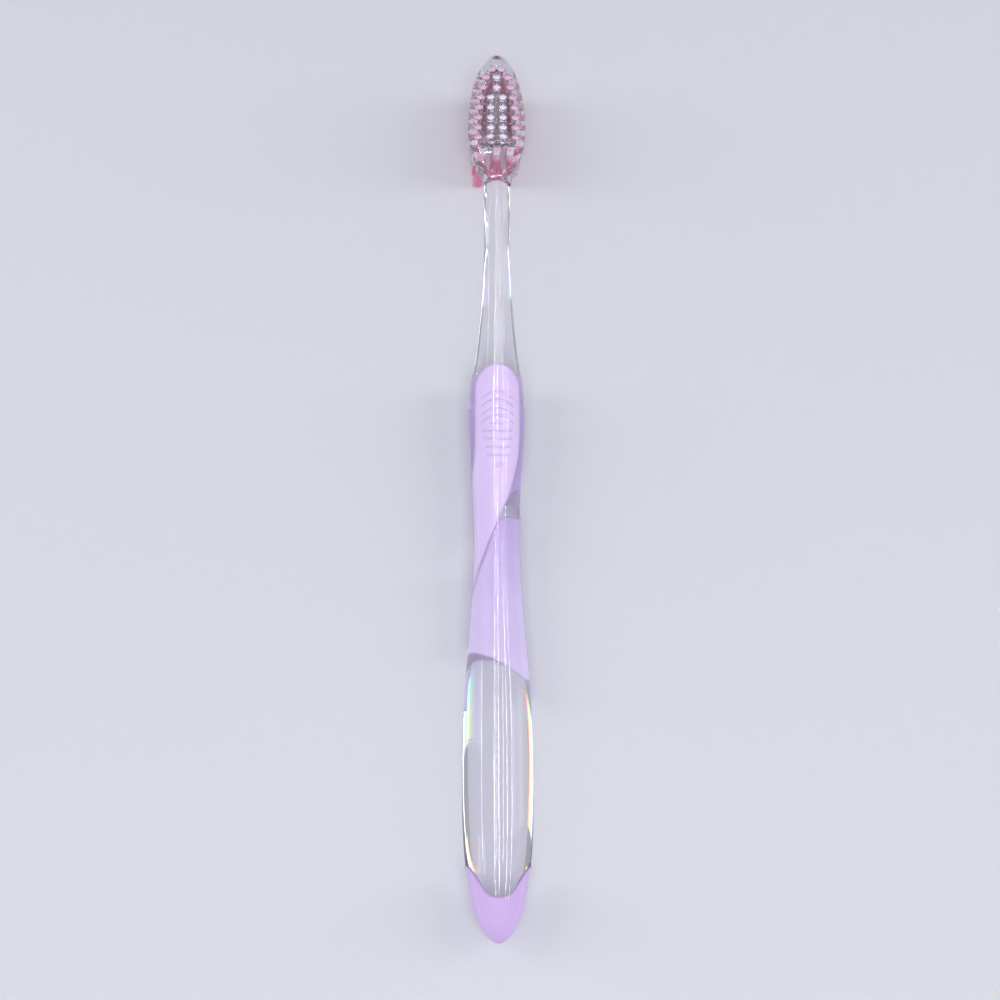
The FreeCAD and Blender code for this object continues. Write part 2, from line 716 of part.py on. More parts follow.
def finger_rib(number):
    """The lower half of a hoop, under the index finger."""
    label = "finger_rib_%d" % (number + 1)
    place = size("finger_rib_place") - number * size("finger_rib_pitch")
    under = add(
        "Part::Box",
        label + "_under",
        {
            "Length": "sizes.thumb_width + 2 * sizes.cut_overrun",
            "Width": "2 * sizes.finger_rib_pitch",
            "Height": "sizes.waist_rise - sizes.parting_drop - sizes.rib_width + sizes.cut_overrun",
            "Placement.Base.x": "-sizes.thumb_width / 2 - sizes.cut_overrun",
            "Placement.Base.y": "%r - sizes.finger_rib_pitch" % place,
            "Placement.Base.z": "-sizes.cut_overrun",
        },
    )
    return common(label, rib_hoop(label, place, "sizes.rib_width"), under)


finger_base = common("finger_base", handle_skin, finger_pocket)
finger_grip = fuse("finger_grip", [finger_base] + [finger_rib(n) for n in range(FINGER_RIBS)])
palm_grip = common("palm_grip", handle_skin, palm_pocket)
tail_cap = common("tail_cap", handle_skin, cap_pocket)

nodes = [handle_body, thumb_grip, finger_grip, palm_grip, tail_cap] + tufts + anchor_rows
doc.recompute()

faults = [item.Label for item in doc.Objects if "Invalid" in item.State or "Error" in item.State]
for item in nodes:
    if item.Shape.isNull() or not item.Shape.isValid():
        faults.append(item.Label + " shape")
    box = item.Shape.BoundBox
    if not item.Label.startswith(("tuft", "anchors")):
        print(
            "%s: %.2f cubic mm, %d solids, X %.2f to %.2f, Y %.2f to %.2f, Z %.2f to %.2f"
            % (item.Label, item.Shape.Volume, len(item.Shape.Solids), box.XMin, box.XMax,
               box.YMin, box.YMax, box.ZMin, box.ZMax)
        )
if faults:
    raise RuntimeError("failed: " + ", ".join(faults))

os.makedirs("parts", exist_ok=True)
for item in nodes:
    item.Shape.exportStep("parts/%s.step" % item.Label)
print("%d pieces written" % len(nodes))
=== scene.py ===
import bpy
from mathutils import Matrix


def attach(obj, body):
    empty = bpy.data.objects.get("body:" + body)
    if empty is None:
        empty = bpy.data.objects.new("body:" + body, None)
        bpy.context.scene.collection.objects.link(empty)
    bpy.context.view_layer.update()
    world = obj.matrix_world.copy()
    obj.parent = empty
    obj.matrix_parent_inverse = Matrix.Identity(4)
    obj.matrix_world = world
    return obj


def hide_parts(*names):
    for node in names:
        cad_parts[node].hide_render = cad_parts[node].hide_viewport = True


bl_info = {
    "name": "Manual Toothbrush",
    "version": (1, 0, 0),
    "blender": (4, 5, 0),
    "location": "View3D > Sidebar > Toothbrush",
    "description": "Dresses the CAD frame of a clear toothbrush with soft grips and bristle tufts",
    "category": "Object",
}

import math
from functools import partial

import bmesh
import bpy
import numpy as np
from bpy.props import FloatProperty, FloatVectorProperty, IntProperty, PointerProperty
from mathutils import Matrix, Vector

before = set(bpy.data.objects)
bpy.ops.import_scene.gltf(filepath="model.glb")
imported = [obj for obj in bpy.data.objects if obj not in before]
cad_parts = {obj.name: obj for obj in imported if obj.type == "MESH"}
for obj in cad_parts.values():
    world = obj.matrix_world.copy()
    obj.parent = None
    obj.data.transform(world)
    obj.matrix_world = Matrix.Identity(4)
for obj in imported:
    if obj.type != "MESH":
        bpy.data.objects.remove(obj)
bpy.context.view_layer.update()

# X runs across the brush, Y towards the toe of the head and Z up, away from the bristle tips.
# Shapes are worked out in millimetres and scaled to metres when they become meshes.
MM = 0.001
FULL_TURN = 2 * math.pi
HALF_TURN = math.pi
QUARTER_TURN = math.pi / 2

# Shares of the way from one named section of the handle to the next: along the brush, of the
# change in width and height, and of the change in rise.
NECK_TO_THUMB = ((0.25, 0.125, 0.23), (0.5, 0.365, 0.5), (0.63, 0.55, 0.64),
                 (0.75, 0.755, 0.77), (0.87, 0.92, 0.90))
THUMB_TO_WAIST = ((0.25, 0.29, 0.35), (0.5, 0.66, 0.65), (0.75, 0.89, 0.87))
WAIST_TO_BELLY = ((0.25, 0.19, 0.25), (0.5, 0.575, 0.5), (0.75, 0.905, 0.75))
# Towards the tail: the share of the way, and what is left of the belly's width and height.
BELLY_TO_TAIL = ((0.26, 0.981), (0.5, 0.914), (0.68, 0.797), (0.8, 0.665), (0.88, 0.53),
                 (0.94, 0.385), (0.98, 0.225), (1.0, 0.07))

# Places along the brush, ahead of its middle, and levels above the surface that it lies on.
HALF_LENGTH = 95.0
HEAD_MIDDLE = 77.0
STUB_END = 63.84
FACE_LEVEL = 10.6
BACK_LEVEL = 14.9
NECK_PLACE, NECK_RISE = 48.0, 11.2
THUMB_PLACE, THUMB_RISE = 13.5, 6.95
WAIST_PLACE, WAIST_RISE = -14.0, 6.0
BELLY_PLACE = -62.5
TAIL_RISE = 6.0
CORE_END = -91.1
ROW_PLACES = (91.5, 89.5, 87.05, 84.6, 82.15, 79.7, 77.25, 74.8, 72.35)
ROWS = len(ROW_PLACES)

# Sizes of the head and its holes, and how far below the widest line the grips meet.
HEAD_TOE = 18.0
HEAD_HEEL = 12.3
SHOULDER_RADIUS = 3.0
HOLE_DEPTH = 3.2
EDGE_MARGIN = 2.05
TOE_GAUGE = 1.9
INNER_GAUGE = 2.5
HEEL_GAUGE = 5.4
PARTING_DROP = 0.2
SPLAYED_TUFT = "tuft_row_9_left"

# The handle's root inside the head, its share of the sections there, and shares of the climb
# from the head's middle to the neck, at the stub's end and halfway on.
ROOT_LENGTH, ROOT_SHARE = 4.92, 0.86
STUB_CLIMB, BEND_CLIMB = 0.25, 0.58

# The rim mask of a soft piece grows from 0 on its edge to 1 inside, over a few lip widths. Where the
# mask is low the colour darkens as painted shade along the edge. Hollows, in millimetres, lower it
# too, so they get painted shade.
RIM_REACH = 1.6
RIM_SHADED = 0.7
HOLLOW_SHADE = 2.6


def number(name, default, text, **more):
    return FloatProperty(name=name, description=text, default=default, **more)


def length(name, default, text):
    return number(name, default, text, min=0.0, unit="LENGTH", precision=5)


def share(name, default, text):
    return number(name, default, text, min=0.0, max=1.0, subtype="FACTOR")


def degrees(name, default, text):
    return number(name, math.radians(default), text, subtype="ANGLE")


def whole(name, default, text, **more):
    return IntProperty(name=name, description=text, default=default, **more)


def colour(name, default, text):
    return FloatVectorProperty(
        name=name, description=text, default=default, size=3, min=0.0, max=1.0, subtype="COLOR"
    )


class HandleSettings(bpy.types.PropertyGroup):
    neck_width: length("Neck Width", 0.0054, "Narrowest part of the neck, across")
    neck_height: length("Neck Height", 0.0048, "Narrowest part of the neck, back to front")
    thumb_width: length("Thumb Width", 0.0112, "Swelling under the thumb, across")
    thumb_height: length("Thumb Height", 0.0094, "Swelling under the thumb, back to front")
    waist_width: length("Waist Width", 0.00904, "Waist behind the thumb, across")
    waist_height: length("Waist Height", 0.0084, "Waist behind the thumb, back to front")
    belly_width: length("Belly Width", 0.0138, "Belly in the palm, across")
    belly_height: length("Belly Height", 0.0116, "Belly in the palm, back to front")
    head_width: length("Head Width", 0.0119, "Head plate, across")
    back_radius: length("Back Rounding", 0.0013, "Rounding of the back of the head")
    face_radius: length("Face Rounding", 0.00045, "Rounding of the bristle side of the head")
    rib_count: whole("Back Ribs", 7, "Arched ribs on the back of the head", min=1)
    rib_radius: length("Back Rib Radius", 0.0042, "Arched rib on the back, in plan")
    rib_length: length("Back Rib Length", 0.0054, "Arched rib on the back, across")
    rib_bead: length("Back Rib Bead", 0.0003, "Radius of the rib's rounded crest")
    rib_height: length("Back Rib Height", 0.00018, "Arched rib above the back")
    hole_diameter: length("Hole Diameter", 0.0017, "Tuft hole")
    plastic: colour("Plastic Colour", (0.94, 0.925, 0.962), "Tint of the clear plastic")
    roughness: share("Plastic Roughness", 0.015, "Roughness of the polished plastic")


class GripSettings(bpy.types.PropertyGroup):
    depth: length("Depth", 0.0014, "Thickness of the soft pieces above and below")
    side_depth: length("Side Depth", 0.0011, "Thickness of the soft pieces at the sides")
    proud: length("Proud", 0.00004, "How far the soft pieces stand above the clear plastic")
    lip_width: length("Lip Width", 0.00035, "Rounding along the edge of a soft piece, in plan")
    lip_drop: length("Lip Drop", 0.00017, "How far the rounded edge falls")
    rib_height: length("Rib Height", 0.00022, "Ribs above the soft grips")
    rib_width: length("Rib Width", 0.0005, "Ribs of the soft grips")
    pad: colour("Pad Colour", (0.74, 0.60, 0.90), "Thumb grip")
    grip: colour("Grip Colour", (0.675, 0.588, 0.835), "Finger and palm grips")
    cap: colour("Cap Colour", (0.655, 0.478, 0.815), "Tail cap")
    roughness: share("Roughness", 0.19, "Roughness of the soft elastomer")


class BristleSettings(bpy.types.PropertyGroup):
    folds: whole("Folds", 23, "Filaments folded into one tuft", min=4, max=60)
    filament_diameter: length("Filament Diameter", 0.00018, "One nylon filament")
    tip_spread: share("Tip Spread", 0.34, "Growth of a tuft from the face to its tips")
    bend: length("Bend", 0.00022, "How far single tips stray")
    lean: length("Heel Lean", 0.0009, "How far the left tuft at the heel splays")
    fold_height: length("Fold Height", 0.0005, "Filaments folded over the metal strip")
    # The pink fold colour is paler than the shafts as painted light on the lit folds; the shaft
    # colour is the nylon's deeper pink with painted shade in it.
    pink: colour("Pink Folds", (0.86, 0.57, 0.72), "Outer tufts where they fold in the head")
    crimson: colour("Pink Shafts", (0.66, 0.16, 0.31), "Outer tufts outside the head")
    white: colour("White Filaments", (0.90, 0.88, 0.96), "Inner tufts")
    seed: whole("Seed", 7, "Order of the random strays")


class StageSettings(bpy.types.PropertyGroup):
    floor: colour("Floor Colour", (0.60, 0.61, 0.66), "Plain floor")
    soft_light: number("Soft Light", 6.6, "Soft lamp above the camera", unit="POWER")
    side_light: number("Side Light", 4.0, "Soft lamps at the sides", unit="POWER")
    tube_light: number("Tube Light", 58.0, "Brightness of the lamp rows overhead")
    fringe_light: number("Fringe Light", 2.2, "Brightness of the lamps with coloured edges")
    sky: number("Sky", 0.38, "Brightness of the room")
    camera_distance: length("Camera Distance", 0.6, "From the lens to the brush")
    camera_tilt: degrees("Camera Tilt", 25, "From straight above, towards the tail")
    camera_turn: degrees("Camera Turn", 2.5, "From straight above, to the left")
    camera_roll: degrees("Camera Roll", -0.27, "Turn of the picture")
    camera_lens: number("Lens", 109.0, "Focal length", min=10.0, unit="CAMERA")


def blend(start, end, way):
    return start + (end - start) * way


def smooth_step(low, high, values):
    way = np.clip((values - low) / (high - low), 0.0, 1.0)
    return way * way * (3 - 2 * way)


def eased(count, gather):
    """Steps from 0 to 1 that gather at both ends."""
    way = np.linspace(0, 1, count)
    return (1 - gather) * way + gather * (0.5 - 0.5 * np.cos(HALF_TURN * way))


def angles_round(count):
    return np.arange(count) * FULL_TURN / count


def unit(vectors):
    return vectors / np.linalg.norm(vectors, axis=-1, keepdims=True)


def plateau(values, start, full, fading, end):
    """A mask that is 0 outside start and end, 1 from full to fading, and smooth between them."""
    return smooth_step(start, full, values) * (1 - smooth_step(fading, end, values))
def smooth_curve(knots, values):
    """A natural cubic curve through values at knots, as a function of the knots' parameter."""
    knots, values = np.asarray(knots, float), np.asarray(values, float)
    gaps = np.diff(knots)
    slopes = np.diff(values, axis=0) / gaps[:, None]
    count = len(knots)
    system = np.eye(count)
    right = np.zeros_like(values)
    for row in range(1, count - 1):
        system[row, row - 1] = gaps[row - 1]
        system[row, row] = 2 * (gaps[row - 1] + gaps[row])
        system[row, row + 1] = gaps[row]
        right[row] = 6 * (slopes[row] - slopes[row - 1])
    bends = np.linalg.solve(system, right)

    def at(place):
        place = np.asarray(place, float)
        index = np.clip(np.searchsorted(knots, place, side="right") - 1, 0, count - 2)
        gap = gaps[index][..., None]
        to_next = (knots[index + 1] - place)[..., None] / gap
        gone = 1 - to_next
        chord = to_next * values[index] + gone * values[index + 1]
        curve = (to_next**3 - to_next) * bends[index] + (gone**3 - gone) * bends[index + 1]
        return chord + curve * gap**2 / 6

    return at


class Skin:
    """The handle's outer surface: ovals across the brush, blended smoothly along it."""

    def __init__(self, settings):
        def section(name, place, rise):
            width = getattr(settings, name + "_width") / MM
            height = getattr(settings, name + "_height") / MM
            return np.array([place, width / 2, height / 2, rise])

        def between(first, last, shares):
            return [
                blend(first, last, np.array([along, change, change, climb]))
                for along, change, climb in shares
            ]

        neck = section("neck", NECK_PLACE, NECK_RISE)
        thumb = section("thumb", THUMB_PLACE, THUMB_RISE)
        waist = section("waist", WAIST_PLACE, WAIST_RISE)
        belly = section("belly", BELLY_PLACE, settings.belly_height / MM / 2)
        plate_rise = (FACE_LEVEL + BACK_LEVEL) / 2
        root_height = (BACK_LEVEL - FACE_LEVEL) / 2 * ROOT_SHARE
        root = (STUB_END + ROOT_LENGTH, neck[1] * ROOT_SHARE, root_height, plate_rise)
        stub_rise = blend(plate_rise, neck[3], STUB_CLIMB)
        stub = (STUB_END, neck[1], blend(neck[2], root_height, 0.5), stub_rise)
        bend_rise = blend(plate_rise, neck[3], BEND_CLIMB)
        bend = (blend(STUB_END, NECK_PLACE, 0.5), neck[1], neck[2], bend_rise)
        table = [root, stub, bend, neck]
        table += between(neck, thumb, NECK_TO_THUMB) + [thumb]
        table += between(thumb, waist, THUMB_TO_WAIST) + [waist]
        table += between(waist, belly, WAIST_TO_BELLY) + [belly]
        for along, left in BELLY_TO_TAIL:
            rise = blend(belly[3], TAIL_RISE, along)
            place = blend(BELLY_PLACE, -HALF_LENGTH, along)
            table.append((place, belly[1] * left, belly[2] * left, rise))
        table = np.array(table)
        steps = np.linalg.norm(np.diff(table, axis=0), axis=1)
        knots = np.concatenate([[0.0], np.cumsum(steps)])
        self.end = knots[-1]
        self.section = smooth_curve(knots, table)
        self.dense = np.linspace(0.0, self.end, 6001)
        self.dense_places = self.section(self.dense)[:, 0]

    def travel(self, place):
        """The way travelled along the skin where it passes a place along the brush."""
        return np.interp(-np.asarray(place, float), -self.dense_places, self.dense)

    def points(self, travel, angle, side_inset=0.0, depth_inset=0.0):
        """Points on the skin, or inset from it. Angle 0 is on the right and a quarter turn on top."""
        place, half_width, half_height, rise = np.moveaxis(self.section(travel), -1, 0)
        x = np.maximum(half_width - side_inset, 0) * np.cos(angle)
        z = rise + np.maximum(half_height - depth_inset, 0) * np.sin(angle)
        return np.stack(np.broadcast_arrays(x, place, z), axis=-1)

    def normals(self, travel, angle):
        step = 0.01
        travel = np.clip(travel, step, self.end - step)
        along = self.points(travel + step, angle) - self.points(travel - step, angle)
        round_it = self.points(travel, angle + step) - self.points(travel, angle - step)
        return unit(np.cross(along, round_it))

    def parting(self, travel):
        """The angle below the widest line at which upper and lower grips meet."""
        return np.arcsin(np.clip(PARTING_DROP / self.section(travel)[..., 2], 0, 1))


def finish_mesh(item, sharp_degrees):
    """Shaded smooth, with hard edges where its faces meet at more than an angle."""
    mesh = item.data
    mesh.polygons.foreach_set("use_smooth", np.ones(len(mesh.polygons), dtype=bool))
    mesh.set_sharp_from_angle(angle=math.radians(sharp_degrees))
    mesh.update()


def give(mesh, material):
    """The material becomes the mesh's only one."""
    mesh.materials.clear()
    mesh.materials.append(material)


def new_object(name, data, material=None):
    item = bpy.data.objects.new(name, data)
    bpy.context.scene.collection.objects.link(item)
    if material is not None:
        give(data, material)
    return item


def closed_mesh(name, points, faces, rim=None):
    """A closed mesh from points in millimetres, with its poles merged and its faces outwards."""
    mesh = bpy.data.meshes.new(name)
    mesh.from_pydata((np.asarray(points) * MM).tolist(), [], faces)
    if rim is not None:
        layer = mesh.attributes.new("rim", "FLOAT", "POINT")
        layer.data.foreach_set("value", rim.astype(np.float32))
    work = bmesh.new()
    work.from_mesh(mesh)
    bmesh.ops.remove_doubles(work, verts=work.verts, dist=2e-6)
    bmesh.ops.dissolve_degenerate(work, dist=1e-7, edges=work.edges)
    bmesh.ops.recalc_face_normals(work, faces=work.faces)
    work.to_mesh(mesh)
    work.free()
    return mesh


def grid_faces(rows, columns, start=0, wrap=False, flip=False):
    faces = []
    for row in range(rows - 1):
        for column in range(columns if wrap else columns - 1):
            following = (column + 1) % columns
            first, second = start + row * columns, start + (row + 1) * columns
            face = (first + column, first + following, second + following, second + column)
            faces.append(face[::-1] if flip else face)
    return faces


def tube_faces(rows, columns, start=0):
    """The faces of a closed tube of rings, with both its ends."""
    last = start + (rows - 1) * columns
    ends = [tuple(range(first, first + columns)) for first in (start, last)]
    return grid_faces(rows, columns, start, wrap=True) + ends


def shell_mesh(name, outer, inner, rim, wrap=False):
    """A soft piece between an outer and an inner grid of points, walled along its edges."""
    rows, columns = outer.shape[:2]
    count = rows * columns
    faces = grid_faces(rows, columns, wrap=wrap) + grid_faces(rows, columns, count, wrap, True)
    border = list(range(columns))
    if wrap:
        border.append(0)
    else:
        border += [row * columns + columns - 1 for row in range(1, rows)]
        border += [(rows - 1) * columns + column for column in range(columns - 2, -1, -1)]
        border += [row * columns for row in range(rows - 2, -1, -1)]
    for here, there in zip(border, border[1:]):
        faces.append((here, here + count, there + count, there))
    points = np.concatenate([outer.reshape(-1, 3), inner.reshape(-1, 3)])
    return closed_mesh(name, points, faces, np.tile(rim.ravel(), 2))


def border_points(grid, wrap=False):
    edges = [grid[0]] if wrap else [grid[0], grid[-1], grid[:, 0], grid[:, -1]]
    return np.concatenate(edges)


def distance_to(points, border):
    flat = points.reshape(-1, 3)
    nearest = np.empty(len(flat))
    for start in range(0, len(flat), 4000):
        part = flat[start : start + 4000]
        squares = (
            (part**2).sum(1)[:, None] + (border**2).sum(1)[None, :] - 2 * part @ border.T
        )
        nearest[start : start + 4000] = np.sqrt(np.maximum(squares.min(1), 0))
    return nearest.reshape(points.shape[:-1])


def bead(distance, width):
    """Height of a rounded bead, from 0 at its sides to 1 on its crest."""
    return np.clip(1 - (2 * distance / width) ** 2, 0, 1) ** 1.5


def lifted(skin, travel, angle, relief, settings, wrap=False):
    """The outer grid of a soft piece, with a rounded lip, and its rim mask."""
    surface = skin.points(travel, angle)
    away = distance_to(surface, border_points(surface, wrap))
    width, drop = settings.lip_width / MM, settings.lip_drop / MM
    way = np.clip(away / width, 0, 1)
    lip = drop * (np.sqrt(np.maximum(1 - (1 - way) ** 2, 0)) - 1)
    lift = settings.proud / MM + lip + relief
    outer = surface + skin.normals(travel, angle) * lift[..., None]
    return outer, np.clip(away / (RIM_REACH * width), 0, 1)


def inner_grid(skin, travel, angle, settings, more=0.0):
    """The inner grid of a soft piece, set deeper where more is given."""
    side, depth = settings.side_depth / MM, settings.depth / MM
    return skin.points(travel, angle, side + more, depth + more)


def dress(item, slot, *nodes):
    """The piece moves with the brush and stands for CAD nodes. The slot is not used."""
    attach(item, "root")
    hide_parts(*nodes)


def soft_piece(name, mesh, slot, node, settings):
    """A soft piece in its elastomer, in place of its CAD node."""
    item = new_object(name, mesh, soft_material(slot, settings))
    finish_mesh(item, 50.0)
    dress(item, slot, node)


# Node trees.


def feed(tree, socket, value):
    """Links a value that is a socket, and sets any other one."""
    if isinstance(value, bpy.types.NodeSocket):
        tree.links.new(value, socket)
    else:
        socket.default_value = value


def add_node(tree, kind, values=None, **properties):
    item = tree.nodes.new(kind)
    for name, value in properties.items():
        setattr(item, name, value)
    for key, value in (values or {}).items():
        feed(tree, item.inputs[key], value)
    return item


def put(tree, kind, values=None, **properties):
    """The first output of a new node."""
    return add_node(tree, kind, values, **properties).outputs[0]


def calc(tree, operation, *values, clamp=False):
    pairs = dict(enumerate(values))
    return put(tree, "ShaderNodeMath", pairs, operation=operation, use_clamp=clamp)


def remap(tree, value, low, high, first=0.0, last=1.0):
    """A value moved from one range to another, and kept inside it."""
    return put(tree, "ShaderNodeMapRange", {0: value, 1: low, 2: high, 3: first, 4: last})


def new_group(name, kind, inputs, outputs):
    """A node tree with named inputs and outputs, and its two end nodes."""
    tree = bpy.data.node_groups.new(name, kind)
    for label, socket, default in inputs:
        item = tree.interface.new_socket(label, in_out="INPUT", socket_type="NodeSocket" + socket)
        if default is not None:
            item.default_value = default
    for label, socket in outputs:
        tree.interface.new_socket(label, in_out="OUTPUT", socket_type="NodeSocket" + socket)
    return tree, tree.nodes.new("NodeGroupInput"), tree.nodes.new("NodeGroupOutput")


def surface_group():
    """Fine grain and faint blotches that every moulded or drawn material carries."""
    name = "moulded_surface"
    if name in bpy.data.node_groups:
        return bpy.data.node_groups[name]
    inputs = (
        ("Vector", "Vector", None),
        ("Grain Scale", "Float", 4000.0),
        ("Wave Scale", "Float", 200.0),
        ("Wave Share", "Float", 0.5),
        ("Blotch Scale", "Float", 90.0),
    )
    outputs = (("Height", "Float"), ("Blotch", "Float"))
    tree, start, end = new_group(name, "ShaderNodeTree", inputs, outputs)
    out = start.outputs

    def noise(scale, detail):
        values = {"Vector": out["Vector"], "Scale": out[scale], "Detail": detail}
        return add_node(tree, "ShaderNodeTexNoise", values).outputs["Fac"]

    grain = noise("Grain Scale", 2.0)
    wave = noise("Wave Scale", 1.0)
    mix = {0: out["Wave Share"], 2: grain, 3: wave}
    height = put(tree, "ShaderNodeMix", mix, data_type="FLOAT")
    tree.links.new(height, end.inputs["Height"])
    tree.links.new(remap(tree, noise("Blotch Scale", 3.0), 0.3, 0.7), end.inputs["Blotch"])
    return tree


def scaled(tint, factor):
    return tuple(value * factor for value in tint)


class Material:
    """A material with its Principled shader and the shared surface group."""

    def __init__(self, name, **surface):
        self.item = bpy.data.materials.new(name)
        self.item.use_nodes = True
        self.tree = self.item.node_tree
        self.shader = next(n for n in self.tree.nodes if n.type == "BSDF_PRINCIPLED")
        self.output = next(n for n in self.tree.nodes if n.type == "OUTPUT_MATERIAL")
        place = add_node(self.tree, "ShaderNodeTexCoord").outputs["Object"]
        self.surface = add_node(
            self.tree, "ShaderNodeGroup", {"Vector": place}, node_tree=surface_group()
        )
        for key, value in surface.items():
            self.surface.inputs[key.replace("_", " ").title()].default_value = value
        self.blotch = self.surface.outputs["Blotch"]

    def set(self, **values):
        """Sets or links inputs of the shader."""
        for key, value in values.items():
            label = key.replace("_", " ").title().replace("Ior", "IOR")
            feed(self.tree, self.shader.inputs[label], value)

    def bump(self, strength, depth):
        height = self.surface.outputs["Height"]
        values = {"Strength": strength, "Distance": depth, "Height": height}
        self.set(normal=put(self.tree, "ShaderNodeBump", values))

    def shade(self, way, first, second):
        """A colour between two, by a mask."""
        pair = {0: way}
        for key, value in ((6, first), (7, second)):
            pair[key] = value if isinstance(value, bpy.types.NodeSocket) else (*value, 1.0)
        return add_node(self.tree, "ShaderNodeMix", pair, data_type="RGBA").outputs[2]

    def blotched(self, tint, factor):
        """The tint with faint darker blotches."""
        return self.shade(self.blotch, scaled(tint, factor), tint)

    def attribute(self, name):
        return add_node(self.tree, "ShaderNodeAttribute", attribute_name=name).outputs["Fac"]

    def let_light_through(self, tint, amount, also_diffuse=False):
        """Rays from lamps pass the surface, tinted, and reach what is behind or inside it."""
        clear = put(self.tree, "ShaderNodeBsdfTransparent", {"Color": (*tint, 1.0)})
        path = add_node(self.tree, "ShaderNodeLightPath").outputs
        passing = path["Is Shadow Ray"]
        if also_diffuse:
            passing = calc(self.tree, "MAXIMUM", passing, path["Is Diffuse Ray"])
        passing = calc(self.tree, "MULTIPLY", passing, amount)
        both = {0: passing, 1: self.shader.outputs[0], 2: clear}
        mix = put(self.tree, "ShaderNodeMixShader", both)
        self.tree.links.new(mix, self.output.inputs["Surface"])


def plastic_material(settings):
    made = Material("polished_clear_plastic", grain_scale=2600.0, wave_scale=150.0, wave_share=0.86)
    made.set(roughness=settings.roughness, ior=1.57, transmission_weight=1.0)
    made.set(base_color=made.blotched(settings.plastic, 0.985))
    made.bump(1.0, 0.000014)
    made.let_light_through((0.945, 0.94, 0.97), 1.0, also_diffuse=True)
    return made.item


def soft_material(slot, settings):
    """Satin elastomer: fine grain, faint flow marks and a thin painted shade along its rim."""
    name = "satin_" + slot
    if name in bpy.data.materials:
        return bpy.data.materials[name]
    tint = getattr(settings, slot.replace("_elastomer", ""))
    made = Material(name, grain_scale=5200.0, wave_scale=480.0, wave_share=0.85)
    made.set(roughness=settings.roughness, specular_ior_level=0.42)
    made.set(subsurface_weight=0.22, subsurface_scale=0.001, subsurface_radius=(1.0, 0.7, 1.0))
    # Painted shade: the colour falls to 0.62 of the tint along the rim, on the rib flanks and in
    # hollows.
    away = remap(made.tree, made.attribute("rim"), 0.0, RIM_SHADED)
    made.set(base_color=made.shade(away, scaled(tint, 0.62), made.blotched(tint, 0.955)))
    made.bump(1.0, 0.000022)
    made.let_light_through((0.96, 0.90, 0.98), 0.6)
    return made.item


def filament_material(name, fold, shaft, tip, passing):
    """Nylon filaments: pale as a painted highlight where they fold in their hole, deeper outside it,
    partly their own colour and partly painted shade, and varied by strand.
    """
    made = Material(name, grain_scale=3000.0, wave_scale=500.0, wave_share=0.3)
    made.set(roughness=0.3, specular_ior_level=0.5)
    made.set(subsurface_weight=0.1, subsurface_scale=0.0005)
    lighter = tuple(blend(value, 1.0, 0.08) for value in shaft)
    own = made.shade(made.attribute("tone"), scaled(shaft, 0.8), lighter)
    free = made.attribute("tip")
    outside = made.shade(free, own, tip)
    # Painted light: the pale fold colour holds in the hole and turns into the shaft colour within
    # 0.22 of the free length, as painted shade below the face.
    made.set(base_color=made.shade(remap(made.tree, free, 0.0, 0.22), fold, outside))
    made.bump(0.2, 0.00001)
    made.let_light_through(passing, 0.982)
    return made.item


def anchor_material():
    made = Material("drawn_nickel_silver", grain_scale=2500.0, wave_scale=900.0, wave_share=0.5)
    made.set(metallic=1.0)
    made.set(base_color=made.shade(made.blotch, (0.60, 0.57, 0.50), (0.78, 0.75, 0.67)))
    made.set(roughness=remap(made.tree, made.blotch, 0.0, 1.0, 0.22, 0.38))
    made.bump(0.3, 0.00001)
    return made.item


# Geometry Nodes: the back ribs and the tufts.


def settled(item):
    """What the modifiers of an object make of it, as a plain mesh."""
    graph = bpy.context.evaluated_depsgraph_get()
    mesh = bpy.data.meshes.new_from_object(
        item.evaluated_get(graph), preserve_all_data_layers=True, depsgraph=graph
    )
    if not mesh.polygons:
        raise RuntimeError("the modifiers left nothing of %s" % item.name)
    return mesh


def discard(item):
    """Removes an object and its mesh."""
    mesh = item.data
    bpy.data.objects.remove(item)
    bpy.data.meshes.remove(mesh)


def evaluated_mesh(name, tree, inputs):
    """Runs a geometry tree on an empty mesh and returns what it makes as a plain mesh."""
    host = new_object(name + "_host", bpy.data.meshes.new(name + "_host"))
    modifier = host.modifiers.new(tree.name, "NODES")
    modifier.node_group = tree
    sockets = {
        item.name: item.identifier
        for item in tree.interface.items_tree
        if item.item_type == "SOCKET" and item.in_out == "INPUT"
    }
    for label, value in inputs.items():
        modifier[sockets[label]] = value
    mesh = settled(host)
    mesh.name = name
    discard(host)
    return mesh


def swept(tree, curve, sides, radius):
    """A curve as a thin rod with closed ends."""
    circle = {"Resolution": sides, "Radius": radius}
    profile = put(tree, "GeometryNodeCurvePrimitiveCircle", circle, mode="RADIUS")
    values = {"Curve": curve, "Profile Curve": profile, "Fill Caps": True}
    return put(tree, "GeometryNodeCurveToMesh", values)


def end_tree(tree, end, geometry, material):
    """Ends a geometry tree with real geometry in its material."""
    real = put(tree, "GeometryNodeRealizeInstances", {"Geometry": geometry})
    values = {"Geometry": real, "Material": material}
    tree.links.new(put(tree, "GeometryNodeSetMaterial", values), end.inputs[0])
    return tree


